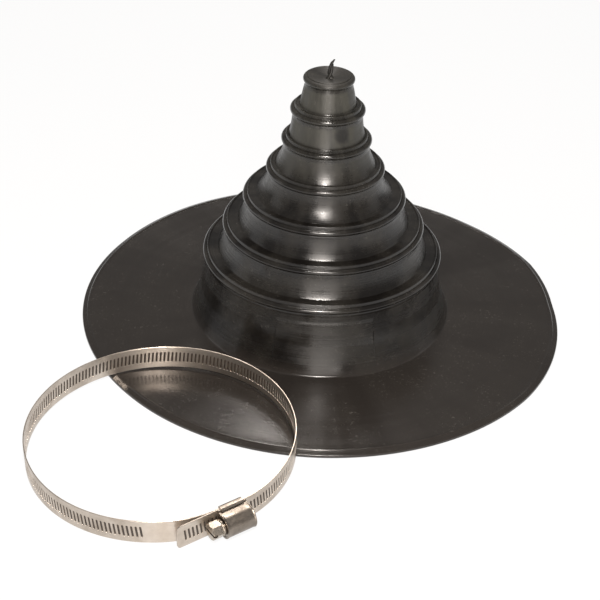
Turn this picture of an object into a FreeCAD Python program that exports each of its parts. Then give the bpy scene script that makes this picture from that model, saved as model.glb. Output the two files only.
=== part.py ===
import FreeCAD, Part
import math
import os
from dataclasses import dataclass

import Sketcher

# Pipe flashing boot: one moulded rubber cone of seven pipe steps on a round flange, with the
# worm-drive clamp that closes it on the pipe lying loose beside it, half on the flange.
#
# Frame: millimetres, +Z up. The origin is the middle of the flange's underside, which is also
# the middle of the open bore at the foot of the cone. The clamp lies on the -X, -Y side.

DRIVING_SIZES = [
    # The boot's flange
    ("flange_radius", 165.0, "outer radius of the flange"),
    ("flange_thickness", 3.0, "flat part of the flange"),
    ("flange_edge_thickness", 1.9, "flange at its very edge"),
    ("border_width", 3.2, "bevelled border, from the edge inwards"),
    ("border_ridge_inset", 4.2, "edge of the flange to the middle of its raised line"),
    ("border_ridge_width", 1.0, "top of the raised line"),
    ("border_ridge_height", 0.5, "raised line above the flange"),
    # The boot's seven steps, from the small top one to the large bottom one
    ("seat_one", 12.6, "bore radius of step one"),
    ("seat_two", 20.3, "bore radius of step two"),
    ("seat_three", 25.5, "bore radius of step three"),
    ("seat_four", 35.0, "bore radius of step four"),
    ("seat_five", 49.95, "bore radius of step five"),
    ("seat_six", 63.25, "bore radius of step six"),
    ("seat_seven", 76.4, "bore radius of step seven"),
    ("foot_one", 18.2, "outer radius at the foot of step one's wall"),
    ("foot_two", 24.7, "outer radius at the foot of step two's wall"),
    ("foot_three", 33.2, "outer radius at the foot of step three's wall"),
    ("foot_four", 45.4, "outer radius at the foot of step four's wall"),
    ("foot_five", 57.1, "outer radius at the foot of step five's wall"),
    ("foot_six", 70.4, "outer radius at the foot of step six's wall"),
    ("foot_seven", 88.4, "outer radius at the foot of the collar"),
    ("lowest_bead_height", 46.8, "underside of the flange to the middle of bead seven"),
    ("step_rise", 20.7, "height from one bead to the next"),
    ("wall_thickness", 2.1, "walls of steps one to six, at the foot"),
    ("collar_thickness", 3.0, "wall of the collar, at the foot"),
    ("shelf_thickness", 2.2, "flat top of each step"),
    ("cap_dish", 0.5, "fall of the closed top towards its middle"),
    ("seat_depth", 7.0, "straight part of each bore below the shelf's underside"),
    # The bead round each step
    ("bead_reach", 3.85, "outside of a bead beyond the bore under it"),
    ("bead_face", 1.8, "height of the bead's upright outside"),
    ("bead_lip", 1.5, "outside of a bead beyond the wall under it"),
    ("bead_under", 1.1, "fall of the bead's underside"),
    ("bead_shoulder", 3.6, "outside of a bead to the edge of the shelf"),
    ("shelf_above_bead", 3.3, "top of the shelf above the middle of the bead"),
    # The blank panel on the collar, and the torn gate on the closed top
    ("panel_width_angle", 46.0, "angle that the panel covers round the collar"),
    ("panel_turn", 2.0, "middle of the panel, turned from the -Y side towards +X"),
    ("panel_bottom", 7.0, "underside of the flange to the panel's lower edge"),
    ("panel_top", 38.0, "underside of the flange to the panel's upper edge"),
    ("panel_height", 0.35, "panel above the collar"),
    ("gate_width", 3.6, "gate where it leaves the top, from side to side"),
    ("gate_depth", 2.0, "gate where it leaves the top, from front to back"),
    ("gate_neck", 1.6, "gate at its narrow middle"),
    ("gate_tip", 1.2, "gate at its tip"),
    ("gate_height", 13.5, "gate above the top"),
    ("gate_lean", 2.8, "tip of the gate beyond its root, towards +X"),
    # The clamp's band
    ("band_radius", 80.3, "outside of the round part of the band"),
    ("band_width", 15.5, "width of the band"),
    ("band_thickness", 0.65, "steel of the band"),
    ("layer_gap", 0.1, "between the band's two layers in the housing"),
    ("flat_length", 18.0, "straight part of the band, as long as the housing"),
    ("flat_setback", 1.0, "straight sliding layer inside the round part's line"),
    ("fixed_end", 7.5, "fixed end of the band beyond the middle of the housing"),
    ("tail_length", 25.5, "free tail of the band beyond the housing"),
    ("tail_corner", 2.5, "corner radius of the tail's end"),
    ("slot_pitch", 2.5, "middle of one slot to the middle of the next"),
    ("slot_length", 7.6, "slot across the band"),
    ("slot_width", 1.15, "slot along the band"),
    ("plain_start", 22.5, "plain stretch: angle from the housing to its near end"),
    ("plain_angle", 13.0, "plain stretch: angle that it covers"),
    # The clamp's saddle and housing
    ("saddle_thickness", 0.9, "steel of the saddle"),
    ("saddle_length", 14.0, "saddle along the band"),
    ("ear_gap", 0.2, "between the saddle's ears and the housing's dome"),
    ("seat_gap", 0.05, "between pieces of the clamp that touch"),
    ("side_gap", 0.2, "between the band's edges and the saddle"),
    ("housing_thickness", 1.0, "steel of the housing"),
    ("dome_radius", 6.05, "inside of the housing's dome"),
    ("end_wall", 1.2, "end walls of the housing"),
    # The clamp's screw
    ("screw_height", 5.25, "screw's axis above the housing's base"),
    ("worm_core", 4.7, "radius of the screw under its thread"),
    ("worm_gap", 0.15, "between the housing and the band under it, and the screw and the end walls"),
    ("neck_radius", 3.2, "radius of the screw's neck in the near end wall"),
    ("tip_radius", 2.3, "radius of the screw's tip in the far end wall"),
    ("bearing_gap", 0.05, "between neck or tip and its end wall, all round"),
    ("tip_reach", 0.9, "tip of the screw beyond the far end wall"),
    ("washer_radius", 5.0, "radius of the washer under the head"),
    ("washer_thickness", 1.5, "washer under the head"),
    ("washer_gap", 0.3, "washer to the near end wall"),
    ("hex_flats", 9.0, "across the flats of the head"),
    ("hex_height", 6.4, "head beyond its washer"),
    ("hex_chamfer", 0.7, "chamfer of the head's corners, along the screw"),
    ("drive_slot_width", 1.4, "screwdriver slot"),
    ("drive_slot_depth", 2.2, "depth of the screwdriver slot"),
    # Where the clamp lies
    ("clamp_right", -93.1, "middle of the band's loop, along X"),
    ("clamp_back", -163.2, "middle of the band's loop, along Y"),
    ("clamp_turn", 305.0, "direction of the housing from the middle of the loop"),
    ("rest_gap", 0.15, "between the band's edge and what it rests on"),
]

STEP_NAMES = ["one", "two", "three", "four", "five", "six", "seven"]
LAST_STEP = len(STEP_NAMES) - 1
WALL_PARTS = 2
COLLAR_PARTS = 3

doc = FreeCAD.newDocument("pipe_flashing_boot")


def make_sheet():
    """Write the driving sizes into the spreadsheet, one named cell each."""
    sheet = doc.addObject("Spreadsheet::Sheet", "sizes")
    for row, (name, value, meaning) in enumerate(DRIVING_SIZES, start=1):
        sheet.set(f"A{row}", meaning)
        sheet.set(f"B{row}", str(value))
        sheet.setAlias(f"B{row}", name)
    doc.recompute()
    return sheet


sizes = make_sheet()


def value_of(formula):
    """The number that a formula in the sheet's names gives, in millimetres or degrees."""
    result = sizes.evalExpression(formula)
    return float(getattr(result, "Value", result))


def in_document(formula):
    """The same formula as other objects write it, with each name read from the sheet."""
    words = "".join(c if c.isalnum() or c == "_" else " " for c in formula).split()
    names = {name for name, _, _ in DRIVING_SIZES} & set(words)
    text = " " + formula + " "
    for name in sorted(names, key=len, reverse=True):
        pieces, rest = [], text
        while name in rest:
            before, _, after = rest.partition(name)
            whole = not (before[-1].isalnum() or before[-1] in "_." or after[0].isalnum() or after[0] == "_")
            pieces.append(before + ("sizes." + name if whole else name))
            rest = after
        text = "".join(pieces) + rest
    return text.strip()


def bind(thing, prop, formula):
    """Tie a property of an object to a formula in the sheet's names."""
    thing.setExpression(prop, in_document(formula))


# ---------------------------------------------------------------- sketches

@dataclass
class Corner:
    """A corner of an outline, and the edge from it to the next corner.

    x and y are formulas. radius is the formula of an arc's radius, or None for a straight
    edge. centre says on which side of the way the arc's centre lies, and major picks the
    arc that is more than half a circle.
    """

    x: str
    y: str
    radius: str = None
    centre: str = "left"
    major: bool = False


@dataclass
class Run:
    """A length of a path: straight along direction from start, or an arc of radius round start.

    An arc begins at first_angle, in radians, and turns clockwise, seen from above.
    """

    start: FreeCAD.Vector
    length: float
    direction: FreeCAD.Vector = None
    radius: float = None
    first_angle: float = 0.0


ORIGIN_POINT = (-1, 1)
X_AXIS_LINE, Y_AXIS_LINE = -1, -2
NOTHING = 1e-7


def new_sketch(body, name, plane, shift=None):
    """A sketch on one of the body's own origin planes, moved by the placement shift, if any."""
    sketch = body.newObject("Sketcher::SketchObject", name)
    support = next(f for f in body.Origin.OriginFeatures if f.Role == plane)
    sketch.AttachmentSupport = [(support, "")]
    sketch.MapMode = "FlatFace"
    if shift is not None:
        sketch.AttachmentOffset = shift
    return sketch


def place_point(sketch, edge, end, corner):
    """Hold one end of an edge at its corner's two formulas."""
    for kind, axis_line, formula in (("DistanceX", Y_AXIS_LINE, corner.x), ("DistanceY", X_AXIS_LINE, corner.y)):
        value = value_of(formula)
        if abs(value) < NOTHING:
            sketch.addConstraint(Sketcher.Constraint("PointOnObject", edge, end, axis_line))
        else:
            number = sketch.addConstraint(Sketcher.Constraint(kind, *ORIGIN_POINT, edge, end, value))
            sketch.setExpression(f"Constraints[{number}]", in_document(formula))


def arc_between(start, finish, radius, corner):
    """The arc from start to finish on the side that the corner says."""
    chord = finish - start
    half = chord.Length / 2
    rise = math.sqrt(max(radius * radius - half * half, 0.0))
    side = 1 if corner.centre == "left" else -1
    if corner.major:
        rise = -rise
    normal = FreeCAD.Vector(-chord.y, chord.x, 0).normalize()
    centre = (start + finish) * 0.5 + normal * (side * rise)
    first, last = (start, finish) if side > 0 else (finish, start)
    angles = [math.atan2(p.y - centre.y, p.x - centre.x) for p in (first, last)]
    circle = Part.Circle(centre, FreeCAD.Vector(0, 0, 1), radius)
    return Part.ArcOfCircle(circle, *angles), (1, 2) if side > 0 else (2, 1)


def draw_outline(sketch, corners):
    """Draw a closed outline of straight edges and arcs, held at its corners."""
    points = [FreeCAD.Vector(value_of(c.x), value_of(c.y), 0) for c in corners]
    ends = []
    for index, corner in enumerate(corners):
        start, finish = points[index], points[(index + 1) % len(points)]
        if corner.radius is None:
            edge = sketch.addGeometry(Part.LineSegment(start, finish), False)
            ends.append((edge, 1, 2))
            continue
        arc, order = arc_between(start, finish, value_of(corner.radius), corner)
        edge = sketch.addGeometry(arc, False)
        ends.append((edge, *order))
        number = sketch.addConstraint(Sketcher.Constraint("Radius", edge, value_of(corner.radius)))
        sketch.setExpression(f"Constraints[{number}]", in_document(corner.radius))
    for index, (edge, _, last) in enumerate(ends):
        following, first, _ = ends[(index + 1) % len(ends)]
        sketch.addConstraint(Sketcher.Constraint("Coincident", edge, last, following, first))
    for (edge, first, _), corner in zip(ends, corners):
        place_point(sketch, edge, first, corner)


def draw_circle(sketch, x, y, radius):
    """Draw a circle held at its centre and radius."""
    centre = FreeCAD.Vector(value_of(x), value_of(y), 0)
    edge = sketch.addGeometry(Part.Circle(centre, FreeCAD.Vector(0, 0, 1), value_of(radius)), False)
    number = sketch.addConstraint(Sketcher.Constraint("Radius", edge, value_of(radius)))
    sketch.setExpression(f"Constraints[{number}]", in_document(radius))
    place_point(sketch, edge, 3, Corner(x, y))


# ---------------------------------------------------------------- features

def revolve(body, name, sketch, kind="PartDesign::Revolution"):
    """Turn a sketch once round its own vertical axis."""
    feature = body.newObject(kind, name)
    feature.Profile = sketch
    feature.ReferenceAxis = (sketch, ["V_Axis"])
    feature.Angle = 360
    return feature


def pad(body, name, sketch, length, symmetric=False):
    """Extrude a sketch by a formula's length."""
    feature = body.newObject("PartDesign::Pad", name)
    feature.Profile = sketch
    if symmetric:
        feature.SideType = "Symmetric"
    bind(feature, "Length", length)
    return feature


def pocket(body, name, sketch, depth):
    """Cut a sketch to a formula's depth, forwards along its plane's normal."""
    feature = body.newObject("PartDesign::Pocket", name)
    feature.Profile = sketch
    feature.Reversed = True
    bind(feature, "Length", depth)
    return feature


def new_body(name):
    """A body with its own label, which names its file."""
    body = doc.addObject("PartDesign::Body", name)
    body.Label = name
    return body


# ---------------------------------------------------------------- the boot

def bead_height(step):
    """Height of the middle of a step's bead."""
    return f"(lowest_bead_height + {LAST_STEP - step} * step_rise)"


def shelf_height(step):
    """Height of a step's flat top."""
    return f"({bead_height(step)} + shelf_above_bead)"


def bead_radius(step):
    """Radius of the outside of a step's bead."""
    return f"(seat_{STEP_NAMES[step]} + bead_reach)"


def wall_at_foot(step):
    """Thickness of a step's wall at its foot."""
    return "collar_thickness" if step == LAST_STEP else "wall_thickness"


def neck_radius_of(step):
    """Radius of the outside of a step's wall where it leaves the bead."""
    return f"({bead_radius(step)} - bead_lip)"


def neck_height(step):
    """Height at which a step's wall leaves the underside of its bead."""
    return f"({bead_height(step)} - bead_face / 2 - bead_under)"


def wall_top_below(step):
    """Height of the surface on which a step's wall stands."""
    return "flange_thickness" if step == LAST_STEP else shelf_height(step + 1)


def wall_radius(step, share):
    """Outside of a step's wall at a share of its way down, from 0 at the bead to 1 at the foot.

    The wall leaves the bead straight down and flares to its foot on an arc, whose radius
    follows from how far out and how far down it goes: (out^2 + down^2) / (2 * out).
    """
    out = f"(foot_{STEP_NAMES[step]} - {neck_radius_of(step)})"
    down = f"({neck_height(step)} - {wall_top_below(step)})"
    flare = f"(({out}^2 + {down}^2) / (2 * {out}))"
    return f"({neck_radius_of(step)} + {flare} - sqrt({flare}^2 - ({share} * {down})^2))"


def wall_height(step, share):
    """Height at a share of a wall's way down."""
    return f"({neck_height(step)} - {share} * ({neck_height(step)} - {wall_top_below(step)}))"


def wall_corners(step):
    """The flared outside of a wall as a few straight lengths between points of its arc."""
    lengths = COLLAR_PARTS if step == LAST_STEP else WALL_PARTS
    shares = [number / lengths for number in range(lengths + 1)]
    return [Corner(wall_radius(step, share), wall_height(step, share)) for share in shares]


def step_outline(step):
    """The section of one step: shelf, bead, flared wall with its foot, and the bore inside."""
    last = step == LAST_STEP
    bead, out, shelf = bead_height(step), bead_radius(step), shelf_height(step)
    sole = "0" if last else f"({wall_top_below(step)} - shelf_thickness)"
    foot, wall, seat = f"foot_{STEP_NAMES[step]}", wall_at_foot(step), f"seat_{STEP_NAMES[step]}"
    top_inner = "0" if step == 0 else f"(foot_{STEP_NAMES[step - 1]} - {wall_at_foot(step - 1)})"
    opening = [Corner(f"{foot} - {wall}", "flange_thickness")] if last else []
    return [
        Corner(top_inner, f"{shelf} - cap_dish" if step == 0 else shelf),
        Corner(f"{out} - bead_shoulder", shelf),
        Corner(out, f"{bead} + bead_face / 2"),
        Corner(out, f"{bead} - bead_face / 2"),
        *wall_corners(step),
        Corner(foot, sole),
        Corner(f"{foot} - {wall}", sole),
        *opening,
        Corner(seat, f"{shelf} - shelf_thickness - seat_depth"),
        Corner(seat, f"{shelf} - shelf_thickness"),
        Corner(top_inner, f"{shelf} - shelf_thickness"),
    ]


def flange_outline():
    """The section of the flange: flat, one raised line near the edge, and a bevelled border."""
    ridge = "(flange_radius - border_ridge_inset)"
    return [
        Corner(f"foot_seven - {wall_at_foot(LAST_STEP)}", "0"),
        Corner("flange_radius", "0"),
        Corner("flange_radius", "flange_edge_thickness"),
        Corner("flange_radius - border_width", "flange_thickness"),
        Corner(f"{ridge} + border_ridge_width / 2", "flange_thickness + border_ridge_height"),
        Corner(f"{ridge} - border_ridge_width / 2", "flange_thickness + border_ridge_height"),
        Corner(f"{ridge} - border_ridge_width / 2 - border_ridge_height", "flange_thickness"),
        Corner(f"foot_seven - {wall_at_foot(LAST_STEP)}", "flange_thickness"),
    ]


def panel_outline():
    """The section of the blank panel, which lies on the collar and follows its lengths."""
    ends = [number / COLLAR_PARTS for number in range(COLLAR_PARTS + 1)]

    def on_wall(height, upper, lower):
        """The collar's outside at a height between two of its points."""
        high, low = wall_height(LAST_STEP, upper), wall_height(LAST_STEP, lower)
        first, last = wall_radius(LAST_STEP, upper), wall_radius(LAST_STEP, lower)
        return f"({first} + ({last} - {first}) * ({high} - {height}) / ({high} - {low}))"

    places = [(on_wall("panel_top", ends[0], ends[1]), "panel_top")]
    places += [(wall_radius(LAST_STEP, share), wall_height(LAST_STEP, share)) for share in ends[1:-1]]
    places += [(on_wall("panel_bottom", ends[-2], ends[-1]), "panel_bottom")]
    outside = [Corner(f"{radius} + panel_height", height) for radius, height in places]
    inside = [Corner(f"{radius} - {wall_at_foot(LAST_STEP)} / 3", height) for radius, height in places]
    return outside + inside[::-1]


def add_gate(body):
    """The torn gate of the mould: a leaning blade, wide at its root and narrow at its middle."""
    root = f"({shelf_height(0)} - cap_dish - shelf_thickness / 2)"
    top = f"({shelf_height(0)} + gate_height)"
    neck_share = 0.62
    sections = []
    for name, share, across, along in (
        ("gate_root", 0.0, "gate_width", "gate_depth"),
        ("gate_middle", neck_share, "gate_neck", "gate_neck"),
        ("gate_end", 1.0, "gate_tip", "gate_tip"),
    ):
        sketch = new_sketch(body, name + "_outline", "XY_Plane")
        bind(sketch, "AttachmentOffset.Base.z", f"{root} + ({top} - {root}) * {share}")
        lean = f"gate_lean * {share} * {share}"
        half_x, half_y = f"({across} / 2)", f"({along} / 2)"
        draw_outline(sketch, [
            Corner(f"{lean} + {half_x}", f"-{half_y} / 2"),
            Corner(f"{lean} + {half_x}", f"{half_y} / 2"),
            Corner(f"{lean} + {half_x} / 2", half_y),
            Corner(f"{lean} - {half_x} / 2", half_y),
            Corner(f"{lean} - {half_x}", f"{half_y} / 2"),
            Corner(f"{lean} - {half_x}", f"-{half_y} / 2"),
            Corner(f"{lean} - {half_x} / 2", f"-{half_y}"),
            Corner(f"{lean} + {half_x} / 2", f"-{half_y}"),
        ])
        sections.append(sketch)
    loft = body.newObject("PartDesign::AdditiveLoft", "gate")
    loft.Profile = sections[0]
    loft.Sections = sections[1:]
    return loft


def make_boot():
    """The moulded boot, in one piece: flange, seven steps, collar panel and torn gate."""
    body = new_body("boot")
    sketch = new_sketch(body, "flange_section", "XZ_Plane")
    draw_outline(sketch, flange_outline())
    revolve(body, "flange", sketch)
    for step in reversed(range(len(STEP_NAMES))):
        sketch = new_sketch(body, f"step_{STEP_NAMES[step]}_section", "XZ_Plane")
        draw_outline(sketch, step_outline(step))
        revolve(body, f"step_{STEP_NAMES[step]}", sketch)
    turned = FreeCAD.Placement(FreeCAD.Vector(), FreeCAD.Rotation(FreeCAD.Vector(0, 1, 0), -90 + value_of("panel_turn")))
    sketch = new_sketch(body, "panel_section", "XZ_Plane", turned)
    draw_outline(sketch, panel_outline())
    panel = revolve(body, "panel", sketch)
    bind(panel, "Angle", "panel_width_angle")
    panel.Midplane = True
    add_gate(body)
    return body


# ---------------------------------------------------------------- the clamp
# The clamp's own frame: Z along the axis of its loop, with Z = 0 at the band's lower edge,
# X from the middle of the loop towards the housing, and Y along the screw, away from its head.

BAND_MIDDLE = "(band_radius - band_thickness / 2)"
SLIDING_LAYER = f"({BAND_MIDDLE} - flat_setback)"
FIXED_LAYER = f"({SLIDING_LAYER} - band_thickness - layer_gap)"
HALF_FLAT = "(flat_length / 2)"
MID_WIDTH = "(band_width / 2)"
HOUSING_BASE = f"({SLIDING_LAYER} + band_thickness / 2 + worm_gap)"
SCREW_AXIS = f"({HOUSING_BASE} + screw_height)"


def bend_radius(layer):
    """Radius of the tighter bend that leads from a straight layer into the round part.

    The bend touches the straight layer at the housing's end and the round part from inside:
    r = R - s / 2 - h^2 / (2 * s), where s is how far the layer lies inside the round part's
    line and h is half the straight part.
    """
    inside = f"({BAND_MIDDLE} - {layer})"
    return f"({BAND_MIDDLE} - {inside} / 2 - {HALF_FLAT}^2 / (2 * {inside}))"


def round_start(layer, side, radius):
    """Where the bend of a layer meets a circle of that radius round the loop's middle."""
    bend = bend_radius(layer)
    scale = f"({radius} / ({BAND_MIDDLE} - {bend}))"
    return f"({layer} - {bend}) * {scale}", f"{side} * {HALF_FLAT} * {scale}"


def loop_outline():
    """The band from its fixed end, once round the loop, through the housing to its tail's end."""
    half = "(band_thickness / 2)"
    corners = []
    for sign, towards in (("+", "right"), ("-", "left")):
        fixed, sliding = f"({FIXED_LAYER} {sign} {half})", f"({SLIDING_LAYER} {sign} {half})"
        middle = f"({BAND_MIDDLE} {sign} {half})"
        bend_in = f"({bend_radius(FIXED_LAYER)} {sign} {half})"
        bend_out = f"({bend_radius(SLIDING_LAYER)} {sign} {half})"
        there = [
            (fixed, "fixed_end"),
            (fixed, f"-{HALF_FLAT}"),
            round_start(FIXED_LAYER, "-1", middle),
            round_start(SLIDING_LAYER, "1", middle),
            (sliding, HALF_FLAT),
            (sliding, f"-{HALF_FLAT} - tail_length"),
        ]
        arcs = [None, bend_in, middle, bend_out, None, None]
        if sign == "-":
            there = there[::-1]
            arcs = arcs[-2::-1] + [None]
        for (x, y), radius in zip(there, arcs):
            corners.append(Corner(x, y, radius, towards, radius == middle))
    return corners


def band_path():
    """The middle line of the strip, from its fixed end to its tail, as straights and arcs."""
    middle, half = value_of(BAND_MIDDLE), value_of(HALF_FLAT)
    fixed, sliding = value_of(FIXED_LAYER), value_of(SLIDING_LAYER)
    bend_in, bend_out = value_of(bend_radius(FIXED_LAYER)), value_of(bend_radius(SLIDING_LAYER))
    turn_in = math.asin(half / (middle - bend_in))
    turn_out = math.asin(half / (middle - bend_out))
    down = FreeCAD.Vector(0, -1, 0)
    return [
        Run(FreeCAD.Vector(fixed, value_of("fixed_end"), 0), value_of("fixed_end") + half, direction=down),
        Run(FreeCAD.Vector(fixed - bend_in, -half, 0), bend_in * turn_in, radius=bend_in, first_angle=0.0),
        Run(FreeCAD.Vector(), middle * (2 * math.pi - turn_in - turn_out), radius=middle, first_angle=-turn_in),
        Run(FreeCAD.Vector(sliding - bend_out, half, 0), bend_out * turn_out, radius=bend_out, first_angle=turn_out),
        Run(FreeCAD.Vector(sliding, half, 0), value_of("flat_length + tail_length"), direction=down),
    ]


def place_on(run, travelled):
    """The point at a length along a run, the direction of travel there, and outwards."""
    if run.direction is not None:
        return run.start + run.direction * travelled, run.direction, FreeCAD.Vector(1, 0, 0)
    angle = run.first_angle - travelled / run.radius
    outwards = FreeCAD.Vector(math.cos(angle), math.sin(angle), 0)
    return run.start + outwards * run.radius, FreeCAD.Vector(outwards.y, -outwards.x, 0), outwards


def slot_cutter(point, along, outwards):
    """A prism that cuts one slot straight across the band and stops half way to the next layer."""
    reach = value_of("(band_thickness + layer_gap) / 2")
    half_width, half_length = value_of("slot_width / 2"), value_of("slot_length / 2")
    middle = point + FreeCAD.Vector(0, 0, value_of(MID_WIDTH)) - outwards * reach
    corners = [
        middle + along * (side * half_width) + FreeCAD.Vector(0, 0, end * half_length)
        for side, end in ((-1, -1), (1, -1), (1, 1), (-1, 1))
    ]
    return Part.Face(Part.makePolygon(corners + corners[:1])).extrude(outwards * (2 * reach))


def make_slot_cutters():
    """One cutter for every slot: evenly spaced along the strip, but for its plain stretch.

    The fixed end has none, and the last one stays clear of the tail's rounded corners.
    """
    near, far = value_of("plain_start"), value_of("plain_start + plain_angle")
    pitch = value_of("slot_pitch")
    cutters, carried = [], 0.0
    path = band_path()
    for number, run in enumerate(path[1:], start=1):
        is_tail = number == len(path) - 1
        travelled = pitch - carried
        limit = run.length - (value_of("tail_corner") if is_tail else 0.0)
        while travelled < limit:
            point, along, outwards = place_on(run, travelled)
            angle = -math.degrees(math.atan2(point.y, point.x))
            if is_tail or not near < angle < far:
                cutters.append(slot_cutter(point, along, outwards))
            travelled += pitch
        carried = run.length - (travelled - pitch)
    feature = doc.addObject("Part::Feature", "slot_cutters")
    feature.Shape = Part.makeCompound(cutters)
    return feature


def make_band():
    """The clamp's band: one strip, fixed in the saddle, round the loop and out as a free tail."""
    strip = new_body("band_strip")
    sketch = new_sketch(strip, "loop_outline", "XY_Plane")
    draw_outline(sketch, loop_outline())
    pad(strip, "loop", sketch, "band_width")
    doc.recompute()
    tail_end = -value_of(f"{HALF_FLAT} + tail_length")
    corner_edges = [
        f"Edge{number}"
        for number, edge in enumerate(strip.Shape.Edges, start=1)
        if all(abs(v.Point.y - tail_end) < NOTHING for v in edge.Vertexes)
        and abs(edge.Vertexes[0].Point.x - edge.Vertexes[-1].Point.x) > NOTHING
    ]
    rounding = strip.newObject("PartDesign::Fillet", "tail_corners")
    rounding.Base = (strip.getObject("loop"), corner_edges)
    bind(rounding, "Radius", "tail_corner")

    band = doc.addObject("Part::Cut", "clamp_band")
    band.Label = "clamp_band"
    band.Base = strip
    band.Tool = make_slot_cutters()
    return band


def make_saddle():
    """The saddle: a channel under the band, its ears folded over the housing's flanges."""
    body = new_body("clamp_saddle")
    floor = f"({FIXED_LAYER} - band_thickness / 2 - seat_gap)"
    ear = f"({HOUSING_BASE} + housing_thickness + seat_gap)"
    inner_half = f"({MID_WIDTH} + side_gap)"
    outer_half = f"({inner_half} + saddle_thickness)"
    lip_half = "(dome_radius + housing_thickness + ear_gap)"
    half_section = [
        (f"{floor} - saddle_thickness", outer_half),
        (f"{ear} + saddle_thickness", outer_half),
        (f"{ear} + saddle_thickness", lip_half),
        (ear, lip_half),
        (ear, inner_half),
        (floor, inner_half),
    ]
    corners = [Corner(x, f"{MID_WIDTH} + {z}") for x, z in half_section]
    corners += [Corner(x, f"{MID_WIDTH} - {z}") for x, z in reversed(half_section)]
    sketch = new_sketch(body, "saddle_section", "XZ_Plane")
    draw_outline(sketch, corners)
    pad(body, "saddle", sketch, "saddle_length", symmetric=True)
    return body


def make_housing():
    """The screw's housing: a dome on two flanges, closed by an end wall at each end."""
    body = new_body("clamp_housing")
    flange_half = f"({MID_WIDTH} + side_gap - seat_gap)"
    flange_top = f"({HOUSING_BASE} + housing_thickness)"
    outer = "(dome_radius + housing_thickness)"
    sketch = new_sketch(body, "dome_section", "XZ_Plane")
    draw_outline(sketch, [
        Corner(HOUSING_BASE, f"{MID_WIDTH} - {flange_half}"),
        Corner(HOUSING_BASE, f"{MID_WIDTH} - dome_radius"),
        Corner(SCREW_AXIS, f"{MID_WIDTH} - dome_radius", "dome_radius", "left"),
        Corner(f"{SCREW_AXIS} + dome_radius", MID_WIDTH, "dome_radius", "left"),
        Corner(SCREW_AXIS, f"{MID_WIDTH} + dome_radius"),
        Corner(HOUSING_BASE, f"{MID_WIDTH} + dome_radius"),
        Corner(HOUSING_BASE, f"{MID_WIDTH} + {flange_half}"),
        Corner(flange_top, f"{MID_WIDTH} + {flange_half}"),
        Corner(flange_top, f"{MID_WIDTH} + {outer}"),
        Corner(SCREW_AXIS, f"{MID_WIDTH} + {outer}", outer, "right"),
        Corner(f"{SCREW_AXIS} + {outer}", MID_WIDTH, outer, "right"),
        Corner(SCREW_AXIS, f"{MID_WIDTH} - {outer}"),
        Corner(flange_top, f"{MID_WIDTH} - {outer}"),
        Corner(flange_top, f"{MID_WIDTH} - {flange_half}"),
    ])
    pad(body, "dome", sketch, "flat_length", symmetric=True)
    for name, side, bore in (("near_wall", 1, "neck_radius"), ("far_wall", -1, "tip_radius")):
        sketch = new_sketch(body, name + "_section", "XZ_Plane")
        bind(sketch, "AttachmentOffset.Base.z", f"{side} * ({HALF_FLAT} - end_wall / 2)")
        draw_outline(sketch, [
            Corner(HOUSING_BASE, f"{MID_WIDTH} - {outer}"),
            Corner(SCREW_AXIS, f"{MID_WIDTH} - {outer}", outer, "left"),
            Corner(f"{SCREW_AXIS} + {outer}", MID_WIDTH, outer, "left"),
            Corner(SCREW_AXIS, f"{MID_WIDTH} + {outer}"),
            Corner(HOUSING_BASE, f"{MID_WIDTH} + {outer}"),
        ])
        draw_circle(sketch, SCREW_AXIS, MID_WIDTH, f"{bore} + bearing_gap")
        pad(body, name, sketch, "end_wall", symmetric=True)
    return body


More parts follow.
